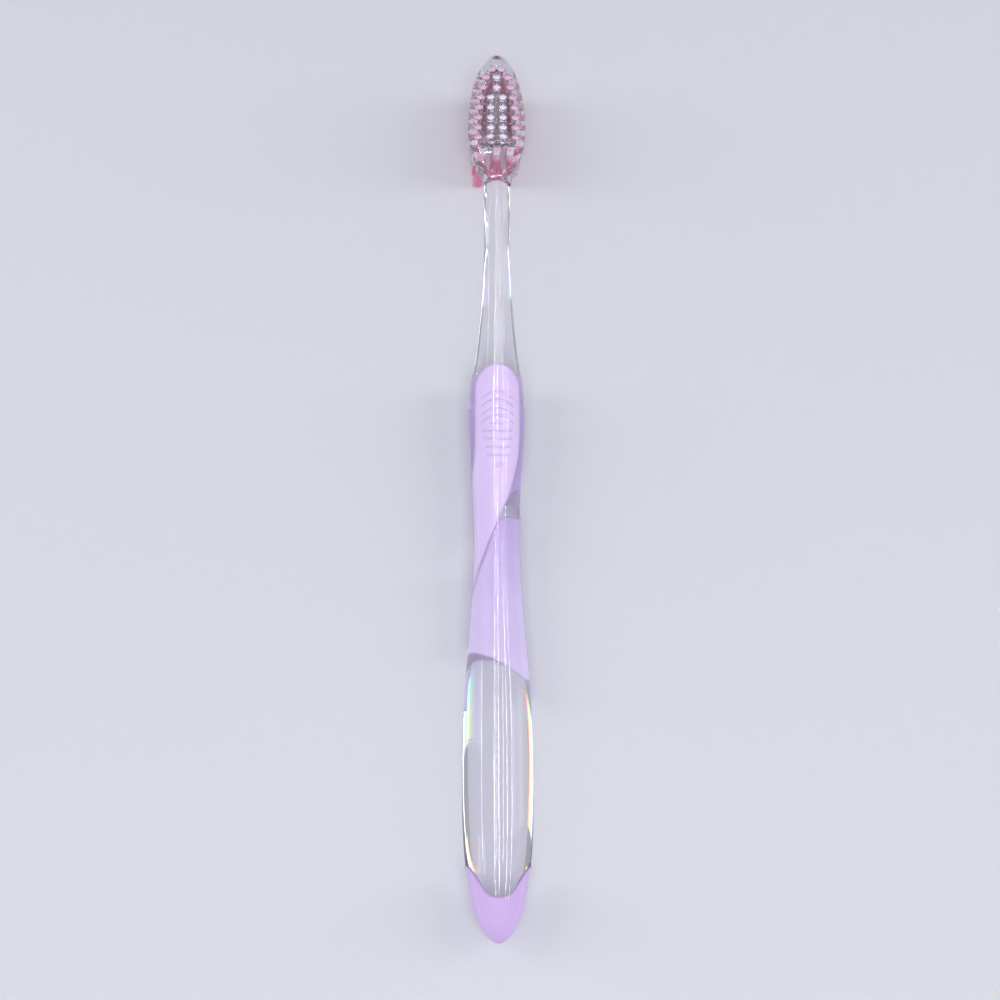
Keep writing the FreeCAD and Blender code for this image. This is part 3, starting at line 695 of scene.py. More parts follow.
def back_rib_tree():
    """Arched beads in a row on the back of the head."""
    name = "arched_back_ribs"
    if name in bpy.data.node_groups:
        return bpy.data.node_groups[name]
    inputs = (
        ("Geometry", "Geometry", None),
        ("Count", "Int", 7),
        ("First Place", "Vector", None),
        ("Pitch", "Float", 0.00245),
        ("Arch Radius", "Float", 0.0042),
        ("Half Angle", "Float", 0.7),
        ("Bead Radius", "Float", 0.0003),
        ("Material", "Material", None),
    )
    tree, start, end = new_group(name, "GeometryNodeTree", inputs, (("Geometry", "Geometry"),))
    out = start.outputs
    step = put(tree, "ShaderNodeCombineXYZ", {"Y": calc(tree, "MULTIPLY", out["Pitch"], -1.0)})
    values = {"Count": out["Count"], "Start Location": out["First Place"], "Offset": step}
    line = put(tree, "GeometryNodeMeshLine", values, mode="OFFSET")
    values = {
        "Resolution": 25,
        "Radius": out["Arch Radius"],
        "Start Angle": calc(tree, "SUBTRACT", QUARTER_TURN, out["Half Angle"]),
        "Sweep Angle": calc(tree, "MULTIPLY", out["Half Angle"], 2.0),
    }
    arch = put(tree, "GeometryNodeCurveArc", values, mode="RADIUS")
    values = {"Points": line, "Instance": swept(tree, arch, 12, out["Bead Radius"])}
    repeated = put(tree, "GeometryNodeInstanceOnPoints", values)
    return end_tree(tree, end, repeated, out["Material"])


def tuft_tree():
    """One tuft: filaments folded over the metal strip in their hole, with both ends outwards."""
    name = "folded_tuft"
    if name in bpy.data.node_groups:
        return bpy.data.node_groups[name]
    inputs = (
        ("Geometry", "Geometry", None),
        ("Folds", "Int", 23),
        ("Place", "Vector", None),
        ("Hole Radius", "Float", 0.00085),
        ("Filament Radius", "Float", 0.00009),
        ("Strip Clearance", "Float", 0.00022),
        ("Face Level", "Float", 0.0106),
        ("Fold Level", "Float", 0.01318),
        ("Fold Height", "Float", 0.00055),
        ("Tip Spread", "Float", 0.24),
        ("Bend", "Float", 0.0002),
        ("Trim", "Float", 0.0001),
        ("Lean", "Vector", None),
        ("Seed", "Int", 1),
        ("Material", "Material", None),
    )
    tree, start, end = new_group(name, "GeometryNodeTree", inputs, (("Geometry", "Geometry"),))
    out = start.outputs
    times, plus, minus, over = (
        partial(calc, tree, operation) for operation in ("MULTIPLY", "ADD", "SUBTRACT", "DIVIDE")
    )
    node = partial(put, tree)

    def store(geometry, label, value, kind):
        values = {"Geometry": geometry, "Name": label, "Value": value}
        return node("GeometryNodeStoreNamedAttribute", values, data_type=kind, domain="POINT")

    def stored(label, kind):
        return node("GeometryNodeInputNamedAttribute", {"Name": label}, data_type=kind)

    def parts(vector):
        return add_node(tree, "ShaderNodeSeparateXYZ", {0: vector}).outputs

    # Homes of the folded filaments in one half of the hole, sown as a sunflower's seeds are.
    golden_angle = HALF_TURN * (3 - math.sqrt(5))
    sown = times(out["Folds"], 2.0)
    index = node("GeometryNodeInputIndex")
    packed = minus(out["Hole Radius"], out["Filament Radius"])
    reach = times(calc(tree, "SQRT", over(plus(index, 0.5), sown)), packed)
    angle = times(index, golden_angle)
    home_x = times(reach, calc(tree, "COSINE", angle))
    home_y = times(reach, calc(tree, "SINE", angle))
    home = node("ShaderNodeCombineXYZ", {"X": home_x, "Y": home_y})
    points = node("GeometryNodePoints", {"Count": sown, "Position": home})
    here = node("GeometryNodeInputPosition")
    behind = node("FunctionNodeCompare", {"A": parts(here)["Y"], "B": 0.0}, operation="LESS_THAN")
    half = node("GeometryNodeDeleteGeometry", {"Geometry": points, "Selection": behind})
    kept = store(half, "home", here, "FLOAT_VECTOR")
    numbered = store(kept, "number", index, "INT")
    strand = node("GeometryNodeCurvePrimitiveLine", {"End": (0.0, 0.0, 1.0)})
    strand = node("GeometryNodeResampleCurve", {"Curve": strand, "Count": 29})
    strands = node("GeometryNodeInstanceOnPoints", {"Points": numbered, "Instance": strand})
    strands = node("GeometryNodeRealizeInstances", {"Geometry": strands})

    # Each strand runs from one tip up to the fold, over the strip and down to its other tip.
    way = add_node(tree, "GeometryNodeSplineParameter").outputs["Factor"]
    own = parts(stored("home", "FLOAT_VECTOR"))
    fold = stored("number", "INT")
    leg_share = 0.42
    rise = over(calc(tree, "MINIMUM", way, minus(1.0, way)), leg_share, clamp=True)
    turn_way = over(minus(way, leg_share), 1 - 2 * leg_share, clamp=True)
    turn = times(turn_way, HALF_TURN)
    leg = plus(times(fold, 2.0), calc(tree, "GREATER_THAN", way, 0.5))

    def random(low, high, extra, per_leg=True):
        values = {"Min": low, "Max": high, "ID": leg if per_leg else fold}
        values["Seed"] = plus(out["Seed"], extra)
        item = add_node(tree, "FunctionNodeRandomValue", data_type="FLOAT")
        for socket in [socket for socket in item.inputs if socket.enabled]:
            feed(tree, socket, values[socket.name])
        return next(socket for socket in item.outputs if socket.enabled)

    # Filaments keep inside the round hole where the strip pushes them outwards.
    outward = over(own["Y"], out["Hole Radius"])
    squeeze = minus(out["Hole Radius"], out["Strip Clearance"])
    half_y = plus(out["Strip Clearance"], times(outward, squeeze))
    arch = times(plus(times(outward, 0.5), random(0.3, 0.5, 11.0, False)), out["Fold Height"])
    crown = times(arch, calc(tree, "POWER", calc(tree, "SINE", turn), 0.6))
    level = plus(times(rise, out["Fold Level"]), crown)
    cut_off = times(minus(1.0, rise), out["Trim"])
    level = plus(level, times(cut_off, random(0.0, 1.0, 5.0)))
    free = over(minus(out["Face Level"], level), out["Face Level"], clamp=True)
    free_bend = calc(tree, "POWER", free, 1.7)
    grow = plus(1.0, times(free_bend, out["Tip Spread"]))
    lean = parts(out["Lean"])

    def straying(flat, axis, extra):
        moved = plus(times(random(-1.0, 1.0, extra), out["Bend"]), lean[axis])
        return plus(times(flat, grow), times(moved, free_bend))

    across = straying(own["X"], "X", 1.0)
    along = straying(times(calc(tree, "COSINE", turn), times(half_y, -1.0)), "Y", 2.0)
    route = node("ShaderNodeCombineXYZ", {"X": across, "Y": along, "Z": level})
    bent = node("GeometryNodeSetPosition", {"Geometry": strands, "Position": route})
    toned = store(bent, "tone", random(0.0, 1.0, 3.0), "FLOAT")
    tipped = store(toned, "tip", free, "FLOAT")
    rods = swept(tree, tipped, 6, out["Filament Radius"])
    smooth = node("GeometryNodeSetShadeSmooth", {"Geometry": rods})
    placed = node("GeometryNodeTransform", {"Geometry": smooth, "Translation": out["Place"]})
    return end_tree(tree, end, placed, out["Material"])


def head_half_width(place, settings):
    reach = HEAD_TOE if place > HEAD_MIDDLE else HEAD_HEEL
    way = (place - HEAD_MIDDLE) / reach
    return settings.head_width / MM / 2 * math.sqrt(max(0.0, 1 - way * way))


def tuft_places(settings):
    """Name, across and along the brush of every tuft, and whether it is one of the paler ones."""
    places = []
    for row, place in enumerate(ROW_PLACES, 1):
        outer = head_half_width(place, settings) - EDGE_MARGIN
        if row == 1:
            outer = TOE_GAUGE / 2
        if row == ROWS:
            outer = HEEL_GAUGE / 2
        places.append(("tuft_row_%d_left" % row, -outer, place, False))
        places.append(("tuft_row_%d_right" % row, outer, place, False))
        if row in (2, 3, ROWS):
            places.append(("tuft_row_%d_middle" % row, 0.0, place, row != ROWS))
        if 3 < row < ROWS:
            for side, sign in (("left", -1), ("right", 1)):
                name = "tuft_row_%d_inner_%s" % (row, side)
                places.append((name, sign * INNER_GAUGE / 2, place, True))
    return places


def oval_arc(centre, across, along, angles):
    x = centre[0] + across * np.cos(angles)
    return np.stack([x, centre[1] + along * np.sin(angles)], axis=1)


def head_outline(settings):
    """The head in plan: a toe half oval, a heel half oval, hollow shoulders and the neck's stub."""
    half_width = settings.head_width / MM / 2
    neck_half = settings.neck_width / MM / 2
    middle = (0.0, HEAD_MIDDLE)
    heel = oval_arc(middle, half_width, -HEAD_HEEL, np.linspace(0, QUARTER_TURN, 2001))
    toe = oval_arc(middle, half_width, HEAD_TOE, np.linspace(QUARTER_TURN, 0, 1200))
    centre_x = neck_half + SHOULDER_RADIUS

    def spans(place):
        return np.hypot(heel[:, 0] - centre_x, heel[:, 1] - place)

    places = np.linspace(STUB_END, HEAD_MIDDLE, 2000)
    centre_y = next(place for place in places if spans(place).min() < SHOULDER_RADIUS)
    touch = int(spans(centre_y).argmin())
    start = math.atan2(heel[touch, 1] - centre_y, heel[touch, 0] - centre_x)
    turn = np.linspace(start % FULL_TURN, HALF_TURN, 60)[1:]
    hollow = oval_arc((centre_x, centre_y), SHOULDER_RADIUS, SHOULDER_RADIUS, turn)
    stub = np.array([[neck_half, STUB_END]])
    right = np.concatenate([toe, heel[1 : touch + 1], hollow, stub])
    steps = np.concatenate([[0], np.cumsum(np.linalg.norm(np.diff(right, axis=0), axis=1))])
    # Points gather where the toe turns tightly.
    way = np.linspace(0, 1, 131)
    spaced = (0.75 * way + 0.25 * way**2.2) * steps[-1]
    right = np.stack([np.interp(spaced, steps, right[:, k]) for k in range(2)], axis=1)
    right[0, 0] = 0.0
    left = right[1:][::-1] * np.array([-1, 1])
    return np.concatenate([right, left])


def inset_outline(outline, inset):
    """The outline moved inwards, on its own normals."""
    ahead = unit(np.roll(outline, -1, axis=0) - outline)
    back = unit(outline - np.roll(outline, 1, axis=0))
    tangent = unit(ahead + back)
    corner = np.maximum(np.sum(tangent * ahead, axis=1), 0.6)
    inward = np.stack([-tangent[:, 1], tangent[:, 0]], axis=1)
    if np.sum((outline.mean(axis=0) - outline) * inward) < 0:
        inward = -inward
    return outline + inward * (inset / corner)[:, None]


def head_mesh(settings):
    """The head plate with its rounded rims, as stacked outlines."""
    outline = head_outline(settings)
    face_radius, back_radius = settings.face_radius / MM, settings.back_radius / MM
    rings = []
    for angle in np.linspace(0, QUARTER_TURN, 5):
        level = FACE_LEVEL + face_radius * (1 - math.cos(angle))
        rings.append((face_radius * (1 - math.sin(angle)), level))
    for angle in np.linspace(0, QUARTER_TURN, 13):
        level = BACK_LEVEL - back_radius * (1 - math.sin(angle))
        rings.append((back_radius * (1 - math.cos(angle)), level))
    points = []
    for inset, level in rings:
        points += [(x, y, level) for x, y in inset_outline(outline, inset)]
    return closed_mesh("head_plate", points, tube_faces(len(rings), len(outline)))


def hole_mesh(settings):
    """Round holes for the tufts, with a small rounding at the bottom."""
    sides = 32
    radius = settings.hole_diameter / MM / 2
    bottom = FACE_LEVEL + HOLE_DEPTH
    profile = (
        (radius, FACE_LEVEL - 1.0),
        (radius, bottom - 0.25),
        (radius * 0.96, bottom - 0.12),
        (radius * 0.85, bottom - 0.03),
        (radius * 0.68, bottom),
    )
    points, faces = [], []
    for _, x, y, _ in tuft_places(settings):
        start = len(points)
        for reach, level in profile:
            ring = oval_arc((x, y), reach, reach, angles_round(sides))
            points += [(*flat, level) for flat in ring.tolist()]
        faces += tube_faces(len(profile), sides, start)
    return closed_mesh("tuft_holes", points, faces)


def skin_mesh(skin):
    """The bare handle, from inside the heel of the head to the tip of the tail."""
    rows, columns = 430, 120
    way = np.linspace(0, 1, rows)
    way = way + 0.035 * np.sin(HALF_TURN * way)
    # Rows gather where the tail closes.
    gathered = np.sin(np.clip(way, 0, 1) * QUARTER_TURN * 0.999)
    travel = blend(way, gathered, 0.35) * skin.end
    travel[-1] = skin.end
    points = skin.points(travel[:, None], angles_round(columns)[None, :]).reshape(-1, 3)
    return closed_mesh("handle_skin", points, tube_faces(rows, columns))


def join(base, operation, tool):
    """One exact boolean on the base object with a tool object, which is then removed."""
    modifier = base.modifiers.new(operation.title(), "BOOLEAN")
    modifier.operation = operation
    modifier.solver = "EXACT"
    modifier.object = tool
    mesh, old = settled(base), base.data
    base.modifiers.remove(modifier)
    base.data = mesh
    bpy.data.meshes.remove(old)
    discard(tool)


class TOOTHBRUSH_OT_handle(bpy.types.Operator):
    """Build the clear handle and head in one piece, with the tuft holes and the back ribs"""

    bl_idname = "toothbrush.add_handle"
    bl_label = "Clear Handle"

    def execute(self, context):
        settings = context.scene.toothbrush_handle
        material = plastic_material(settings)
        head = new_object("head_plate", head_mesh(settings))
        arch = settings.rib_radius
        crown = (ROW_PLACES[1] + ROW_PLACES[2]) / 2 * MM
        level = BACK_LEVEL * MM + settings.rib_height - settings.rib_bead
        values = {
            "Count": settings.rib_count,
            "First Place": (0.0, crown - arch, level),
            "Pitch": (ROW_PLACES[2] - ROW_PLACES[3]) * MM,
            "Arch Radius": arch,
            "Half Angle": math.asin(settings.rib_length / 2 / arch),
            "Bead Radius": settings.rib_bead,
            "Material": material,
        }
        ribs = evaluated_mesh("back_ribs", back_rib_tree(), values)
        join(head, "UNION", new_object("back_ribs", ribs))
        join(head, "DIFFERENCE", new_object("tuft_holes", hole_mesh(settings)))
        handle = new_object("clear_handle", skin_mesh(Skin(settings)))
        join(handle, "UNION", head)
        faces = handle.data.polygons
        give(handle.data, material)
        faces.foreach_set("material_index", [0] * len(faces))
        finish_mesh(handle, 32.0)
        dress(handle, "clear_plastic", "handle_body")
        return {"FINISHED"}


def thumb_relief(x, place, settings):
    """Ribs of the thumb grip: arched ones towards the toe, bowed ones behind, and the gate mark."""
    width, height = settings.rib_width / MM, settings.rib_height / MM
    gate_x, gate_place, gate_depth = 0.3, 1.3, 0.14
    end_fade = 0.35
    relief = np.zeros_like(x)
    # Crown, half width and rise of each rib, and 1 where its ends bend towards the toe, or -1.
    ribs = [(17.12 - 1.76 * k, 3.3, 1.3, -1) for k in range(4)]
    ribs += [(9.99, 1.6, 0.25, 1), (8.39, 3.1, 0.6, 1), (6.75, 3.0, 0.56, 1)]
    ribs += [(5.05, 2.6, 0.42, 1), (3.36, 2.4, 0.36, 1)]
    for crown, reach, rise, sign in ribs:
        line = crown + sign * rise * (x / reach) ** 2
        slope = 2 * rise * x / reach**2
        off = np.abs(place - line) / np.sqrt(1 + slope**2)
        ends = 1 - smooth_step(reach - end_fade, reach, np.abs(x))
        relief = np.maximum(relief, height * bead(off, width) * ends)
    gate = np.hypot(x - gate_x, place - gate_place)
    return relief - gate_depth * (1 - smooth_step(0.45, 0.8, gate))


def shaded_ribs(rim, relief, settings, depth):
    """The rim mask with a thin painted shade on the flanks of the ribs and in the gate mark's hollow.
    """
    rise = np.clip(relief / (settings.rib_height / MM), 0, 1)
    hollow = np.clip(-relief, 0, None)
    return np.minimum(rim, RIM_SHADED - depth * 4 * rise * (1 - rise) - HOLLOW_SHADE * hollow)


class TOOTHBRUSH_OT_thumb_grip(bpy.types.Operator):
    """Build the thumb grip, whose tail wraps round the left side of the waist"""

    bl_idname = "toothbrush.add_thumb_grip"
    bl_label = "Thumb Grip"

    def execute(self, context):
        settings = context.scene.toothbrush_grips
        skin = Skin(context.scene.toothbrush_handle)
        front, round_place, reach = 23.15, 18.5, 4.35
        turn = np.linspace(QUARTER_TURN, 0, 44)
        places = round_place + (front - round_place) * np.sin(turn)
        places = np.concatenate([places, np.arange(18.42, 0.0, -0.08), np.arange(0.0, -26.3, -0.2)])
        travel = skin.travel(places)
        half_width = skin.section(travel)[:, 1]
        round_way = (places - round_place) / (front - round_place)
        front_round = reach * np.sqrt(np.clip(1 - round_way**2, 0, 1))
        right_line = np.array([
            (18.5, 4.35), (15.0, 4.36), (11.0, 4.37), (8.0, 4.33), (5.5, 4.2), (3.5, 4.0),
            (1.5, 3.7), (-0.5, 3.34), (-3.5, 2.66), (-6.15, 1.9),
            (-8.4, 0.93), (-10.4, 0.17), (-12.0, -0.42), (-15.0, -1.72), (-17.1, -2.5),
            (-19.0, -3.25), (-20.3, -3.75), (-22.2, -4.25), (-23.3, -4.55), (-25.0, -4.8),
        ])
        line = smooth_curve(-right_line[:, 0], right_line[:, 1:])(-places)[:, 0]
        right_x = np.where(places > round_place, front_round, line)
        left_x = -np.where(places > round_place, front_round, reach)
        right = np.arccos(np.clip(right_x / half_width, -1, 1))
        left = np.arccos(np.clip(left_x / half_width, -1, 1))
        parting = HALF_TURN + skin.parting(travel)
        left = blend(left, parting, 1 - smooth_step(-5.2, 5.5, places))
        right = blend(right, parting, 1 - smooth_step(-26.2, -23.0, places))
        angle = right[:, None] + (left - right)[:, None] * eased(96, 0.4)[None, :]
        travel = np.broadcast_to(travel[:, None], angle.shape)
        surface = skin.points(travel, angle)
        relief = thumb_relief(surface[..., 0], surface[..., 1], settings)
        outer, rim = lifted(skin, travel, angle, relief, settings)
        # Painted shade on the rib flanks and in the gate mark.
        rim = shaded_ribs(rim, relief, settings, 0.30)
        inner = inner_grid(skin, travel, angle, settings)
        mesh = shell_mesh("thumb_grip_pad", outer, inner, rim)
        soft_piece("thumb_grip_pad", mesh, "pad_elastomer", "thumb_grip", settings)
        return {"FINISHED"}


def lower_angles(drop, way):
    """Angles round the lower half, from a drop below the left side to one below the right."""
    return (HALF_TURN + drop) + way * (HALF_TURN - 2 * drop)


def edge_places(skin, places, angles, line, rounds, pull):
    """Places where an edge that is drawn in plan crosses the angles, found by small steps."""
    for _ in range(rounds):
        travel = skin.travel(places)
        x = skin.section(travel)[:, 1] * np.cos(angles(travel))
        places = blend(places, line(x), pull)
    return places


class TOOTHBRUSH_OT_finger_grip(bpy.types.Operator):
    """Build the finger grip, a half sleeve with a notch on each side and fine cross ribs"""

    bl_idname = "toothbrush.add_finger_grip"
    bl_label = "Finger Grip"

    def execute(self, context):
        settings = context.scene.toothbrush_grips
        handle = context.scene.toothbrush_handle
        skin = Skin(handle)
        waist = handle.waist_width / MM
        front, right_end, left_end = 22.9, 1.75, -14.0
        strip_half = 3.5
        first_rib, rib_pitch, rib_count = 14.2, 1.14, 10
        wave_height, wave_pitch = 0.34, 0.57
        rows, columns = 300, 110
        way = eased(columns, 0.4)

        def angles(travel):
            return lower_angles(skin.parting(travel), way)

        def slant(x):
            return right_end + (x - waist / 2) * (right_end - left_end) / waist

        rear = edge_places(skin, np.full(columns, right_end), angles, slant, 12, 0.6)
        places = blend(front, rear[None, :], np.linspace(0, 1, rows)[:, None])
        travel = skin.travel(places)
        # The notches: the side edges step down to a narrower strip under the handle.
        notch = plateau(places, 15.5, 15.75, 17.65, 17.9)
        narrow = np.arccos(np.clip(strip_half / skin.section(travel)[..., 1], -1, 1))
        angle = lower_angles(blend(skin.parting(travel), narrow, notch), way[None, :])
        below = skin.section(travel)[..., 3] - skin.points(travel, angle)[..., 2]
        relief = np.zeros_like(places)
        for rib in range(rib_count):
            off = np.abs(places - (first_rib - rib_pitch * rib))
            crest = bead(off, settings.rib_width / MM)
            relief = np.maximum(relief, settings.rib_height / MM * crest)
        relief *= smooth_step(0.25, 0.6, below)
        outer, rim = lifted(skin, travel, angle, relief, settings)
        ribbed = plateau(places, 1.3, 2.0, 15.2, 15.6) * (1 - smooth_step(1.2, 2.4, below))
        waves = wave_height * ribbed * (0.5 + 0.5 * np.cos(FULL_TURN * places / wave_pitch))
        inner = inner_grid(skin, travel, angle, settings, waves)
        mesh = shell_mesh("finger_grip_sleeve", outer, inner, rim)
        soft_piece("finger_grip_sleeve", mesh, "grip_elastomer", "finger_grip", settings)
        return {"FINISHED"}


class TOOTHBRUSH_OT_palm_grip(bpy.types.Operator):
    """Build the palm grip, a half sleeve under the waist that is seen through the clear back"""

    bl_idname = "toothbrush.add_palm_grip"
    bl_label = "Palm Grip"

    def execute(self, context):
        settings = context.scene.toothbrush_grips
        skin = Skin(context.scene.toothbrush_handle)
        rows, columns = 190, 120
        way = eased(columns, 0.4)
        front_line = np.array([
            (-7.0, -18.4), (-3.1, -18.4), (-2.6, -18.1), (-2.1, -17.2), (0.1, -8.8),
            (0.6, -8.0), (1.2, -7.7), (7.0, -7.7),
        ])
        rear_line = np.array([
            (-7.0, -35.5), (-5.0, -35.6), (-4.2, -35.85), (-3.0, -36.5), (0.0, -38.4),
            (2.5, -41.2), (4.5, -43.9), (6.1, -46.1), (7.0, -47.3),
        ])

        def angles(travel):
            return lower_angles(skin.parting(travel), way)

        def edge(line):
            def drawn(x):
                return np.interp(x, line[:, 0], line[:, 1])

            start = np.full(columns, line[:, 1].mean())
            return edge_places(skin, start, angles, drawn, 16, 0.6)

        first, last = edge(front_line), edge(rear_line)
        places = blend(first[None, :], last[None, :], eased(rows, 0.3)[:, None])
        travel = skin.travel(places)
        angle = angles(travel)
        outer, rim = lifted(skin, travel, angle, np.zeros_like(places), settings)
        inner = inner_grid(skin, travel, angle, settings)
        mesh = shell_mesh("palm_grip_sleeve", outer, inner, rim)
        soft_piece("palm_grip_sleeve", mesh, "grip_elastomer", "palm_grip", settings)
        return {"FINISHED"}


class TOOTHBRUSH_OT_tail_cap(bpy.types.Operator):
    """Build the soft cap over the tail, with its rounded V edge above and below"""

    bl_idname = "toothbrush.add_tail_cap"
    bl_label = "Tail Cap"

    def execute(self, context):
        settings = context.scene.toothbrush_grips
        skin = Skin(context.scene.toothbrush_handle)
        rows, columns = 120, 144
        round_angle = angles_round(columns)
        apex, radius, half_angle = -87.4, 3.4, math.radians(30)
        run = radius * math.cos(half_angle)

        def rounded_v(x):
            x = np.abs(x)
            bowl = apex + radius - np.sqrt(np.maximum(radius**2 - np.minimum(x, run) ** 2, 0))
            return bowl + np.maximum(x - run, 0) / math.tan(half_angle)

        def angles(_):
            return round_angle

        edge = edge_places(skin, np.full(columns, apex), angles, rounded_v, 24, 0.4)
        travel = blend(skin.travel(edge)[None, :], skin.end, eased(rows, 0.55)[:, None])
        angle = np.broadcast_to(round_angle[None, :], travel.shape)
        outer, rim = lifted(skin, travel, angle, np.zeros(travel.shape), settings, wrap=True)
        outer[-1] = outer[-1].mean(axis=0)
        inner = inner_grid(skin, travel, angle, settings)
        # Behind the core's end the inner grid closes to a flat disc.
        core_travel = skin.travel(CORE_END)
        _, core_width, core_height, core_rise = skin.section(core_travel)
        left = 1 - np.clip((travel - core_travel) / (skin.end - core_travel), 0, 1)
        x = (core_width - settings.side_depth / MM) * left * np.cos(angle)
        z = core_rise + (core_height - settings.depth / MM) * left * np.sin(angle)
        shut = np.stack([x, np.full(travel.shape, CORE_END), z], axis=-1)
        inner = np.where(inner[..., 1:2] < CORE_END, shut, inner)
        mesh = shell_mesh("tail_cap_sleeve", outer, inner, rim, wrap=True)
        soft_piece("tail_cap_sleeve", mesh, "cap_elastomer", "tail_cap", settings)
        return {"FINISHED"}


class TOOTHBRUSH_OT_tufts(bpy.types.Operator):
    """Build the bristle tufts, each folded over its metal strip"""

    bl_idname = "toothbrush.add_tufts"
    bl_label = "Bristle Tufts"

    def execute(self, context):
        settings = context.scene.toothbrush_bristles
        handle = context.scene.toothbrush_handle
        # The pink tips are darkened partly as painted shade.
        pink_tip, pink_passing = (0.70, 0.30, 0.45), (0.99, 0.84, 0.91)
        pink = filament_material(
            "pink_nylon", settings.pink, settings.crimson, pink_tip, pink_passing
        )
        # The white shafts carry a faint pink tint as painted light reflected from the pink tufts
        # beside them.
        white_shaft, white_tip, white_passing = (0.93, 0.86, 0.94), (0.92, 0.90, 0.95), (0.995,) * 3
        white = filament_material(
            "white_nylon", settings.white, white_shaft, white_tip, white_passing
        )
        play, seed_step = 0.00002, 31
        for order, (name, x, y, pale) in enumerate(tuft_places(handle)):
            lean = settings.lean if name == SPLAYED_TUFT else 0.0
            values = {
                "Folds": settings.folds,
                "Place": (x * MM, y * MM, 0.0),
                "Hole Radius": handle.hole_diameter / 2 - play,
                "Filament Radius": settings.filament_diameter / 2,
                "Face Level": FACE_LEVEL * MM,
                "Fold Height": settings.fold_height,
                "Tip Spread": settings.tip_spread,
                "Bend": settings.bend,
                "Lean": (-lean, -lean / 2, 0.0),
                "Seed": settings.seed + seed_step * order,
                "Material": white if pale else pink,
            }
            mesh = evaluated_mesh(name + "_filaments", tuft_tree(), values)
            tuft = new_object(name + "_filaments", mesh)
            dress(tuft, "white_bristle" if pale else "pink_bristle", name)
        return {"FINISHED"}


class TOOTHBRUSH_OT_anchors(bpy.types.Operator):
    """Give the metal strips that hold the tufts their finish"""

    bl_idname = "toothbrush.finish_anchors"
    bl_label = "Anchor Strips"

    def execute(self, context):
        material = anchor_material()
        for row in range(1, ROWS + 1):
            give(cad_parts["anchors_row_%d" % row].data, material)
        return {"FINISHED"}


def unseen_by(item, *rays):
    for ray in rays:
        setattr(item, "visible_" + ray, False)


def soft_lamp(name, power, size, place):
    """A soft lamp that faces the middle of the brush."""
    lamp = bpy.data.lights.new(name, "AREA")
    lamp.energy = power
    lamp.shape = "RECTANGLE"
    lamp.size, lamp.size_y = size
    item = new_object(name, lamp)
    item.location = place
    item.rotation_euler = (Vector() - Vector(place)).to_track_quat("-Z", "Y").to_euler()
    unseen_by(item, "glossy", "transmission")


def flat_object(name, material, low, high, level):
    """A level rectangle between two corners in plan."""
    (left, first), (right, last) = low, high
    mesh = bpy.data.meshes.new(name)
    corners = ((left, first), (right, first), (right, last), (left, last))
    mesh.from_pydata([(*corner, level) for corner in corners], [], [(0, 1, 2, 3)])
    return new_object(name, mesh, material)


def overhead_lamp(name, material, low, high, level):
    """A flat lamp that faces down and is seen only as a reflection or through the plastic."""
    item = flat_object(name, material, low, high, level)
    item.data.flip_normals()
    unseen_by(item, "diffuse", "shadow", "camera")
    return item


def glowing_material(name, shine):
    """A lamp's material. Shine gives its colour and strength from the place on the lamp."""
    item = bpy.data.materials.new(name)
    item.use_nodes = True
    tree = item.node_tree
    tree.nodes.clear()
    place = add_node(tree, "ShaderNodeTexCoord").outputs["Object"]
    colour_here, strength = shine(tree, add_node(tree, "ShaderNodeSeparateXYZ", {0: place}).outputs)
    glow = put(tree, "ShaderNodeEmission", {"Color": colour_here, "Strength": strength})
    add_node(tree, "ShaderNodeOutputMaterial", {"Surface": glow})
    return item


def fringed_material(name, strength, inner, outer):
    """A white lamp with a coloured fringe, as clear plastic spreads the light of its edge."""
    stops = (
        (0.0, (1.0, 1.0, 1.0)), (0.25, (0.95, 0.95, 1.0)), (0.42, (0.55, 0.3, 1.0)),
        (0.58, (0.25, 0.5, 1.0)), (0.72, (0.35, 1.0, 0.45)), (0.84, (1.0, 0.9, 0.3)),
        (0.95, (1.0, 0.3, 0.2)),
    )

    def shine(tree, place):
        way = remap(tree, calc(tree, "ABSOLUTE", place["X"]), inner, outer)
        ramp = add_node(tree, "ShaderNodeValToRGB", {0: way})
        elements = ramp.color_ramp.elements
        elements[-1].position = stops[-1][0]
        for middle, _ in stops[1:-1]:
            elements.new(middle)
        for element, (_, tint) in zip(elements, stops):
            element.color = (*tint, 1.0)
        return ramp.outputs[0], strength

    return glowing_material(name, shine)


def tube_material(strength):
    """Small lamps in a row: bright beads with short gaps between them."""
    pitch = 0.011

    def shine(tree, place):
        wave = calc(tree, "SINE", calc(tree, "MULTIPLY", place["Y"], FULL_TURN / pitch))
        lit = remap(tree, wave, -0.75, 0.1, 0.15, 1.0)
        return (1.0, 0.99, 0.98, 1.0), calc(tree, "MULTIPLY", lit, strength)

    return glowing_material("lamp_row", shine)


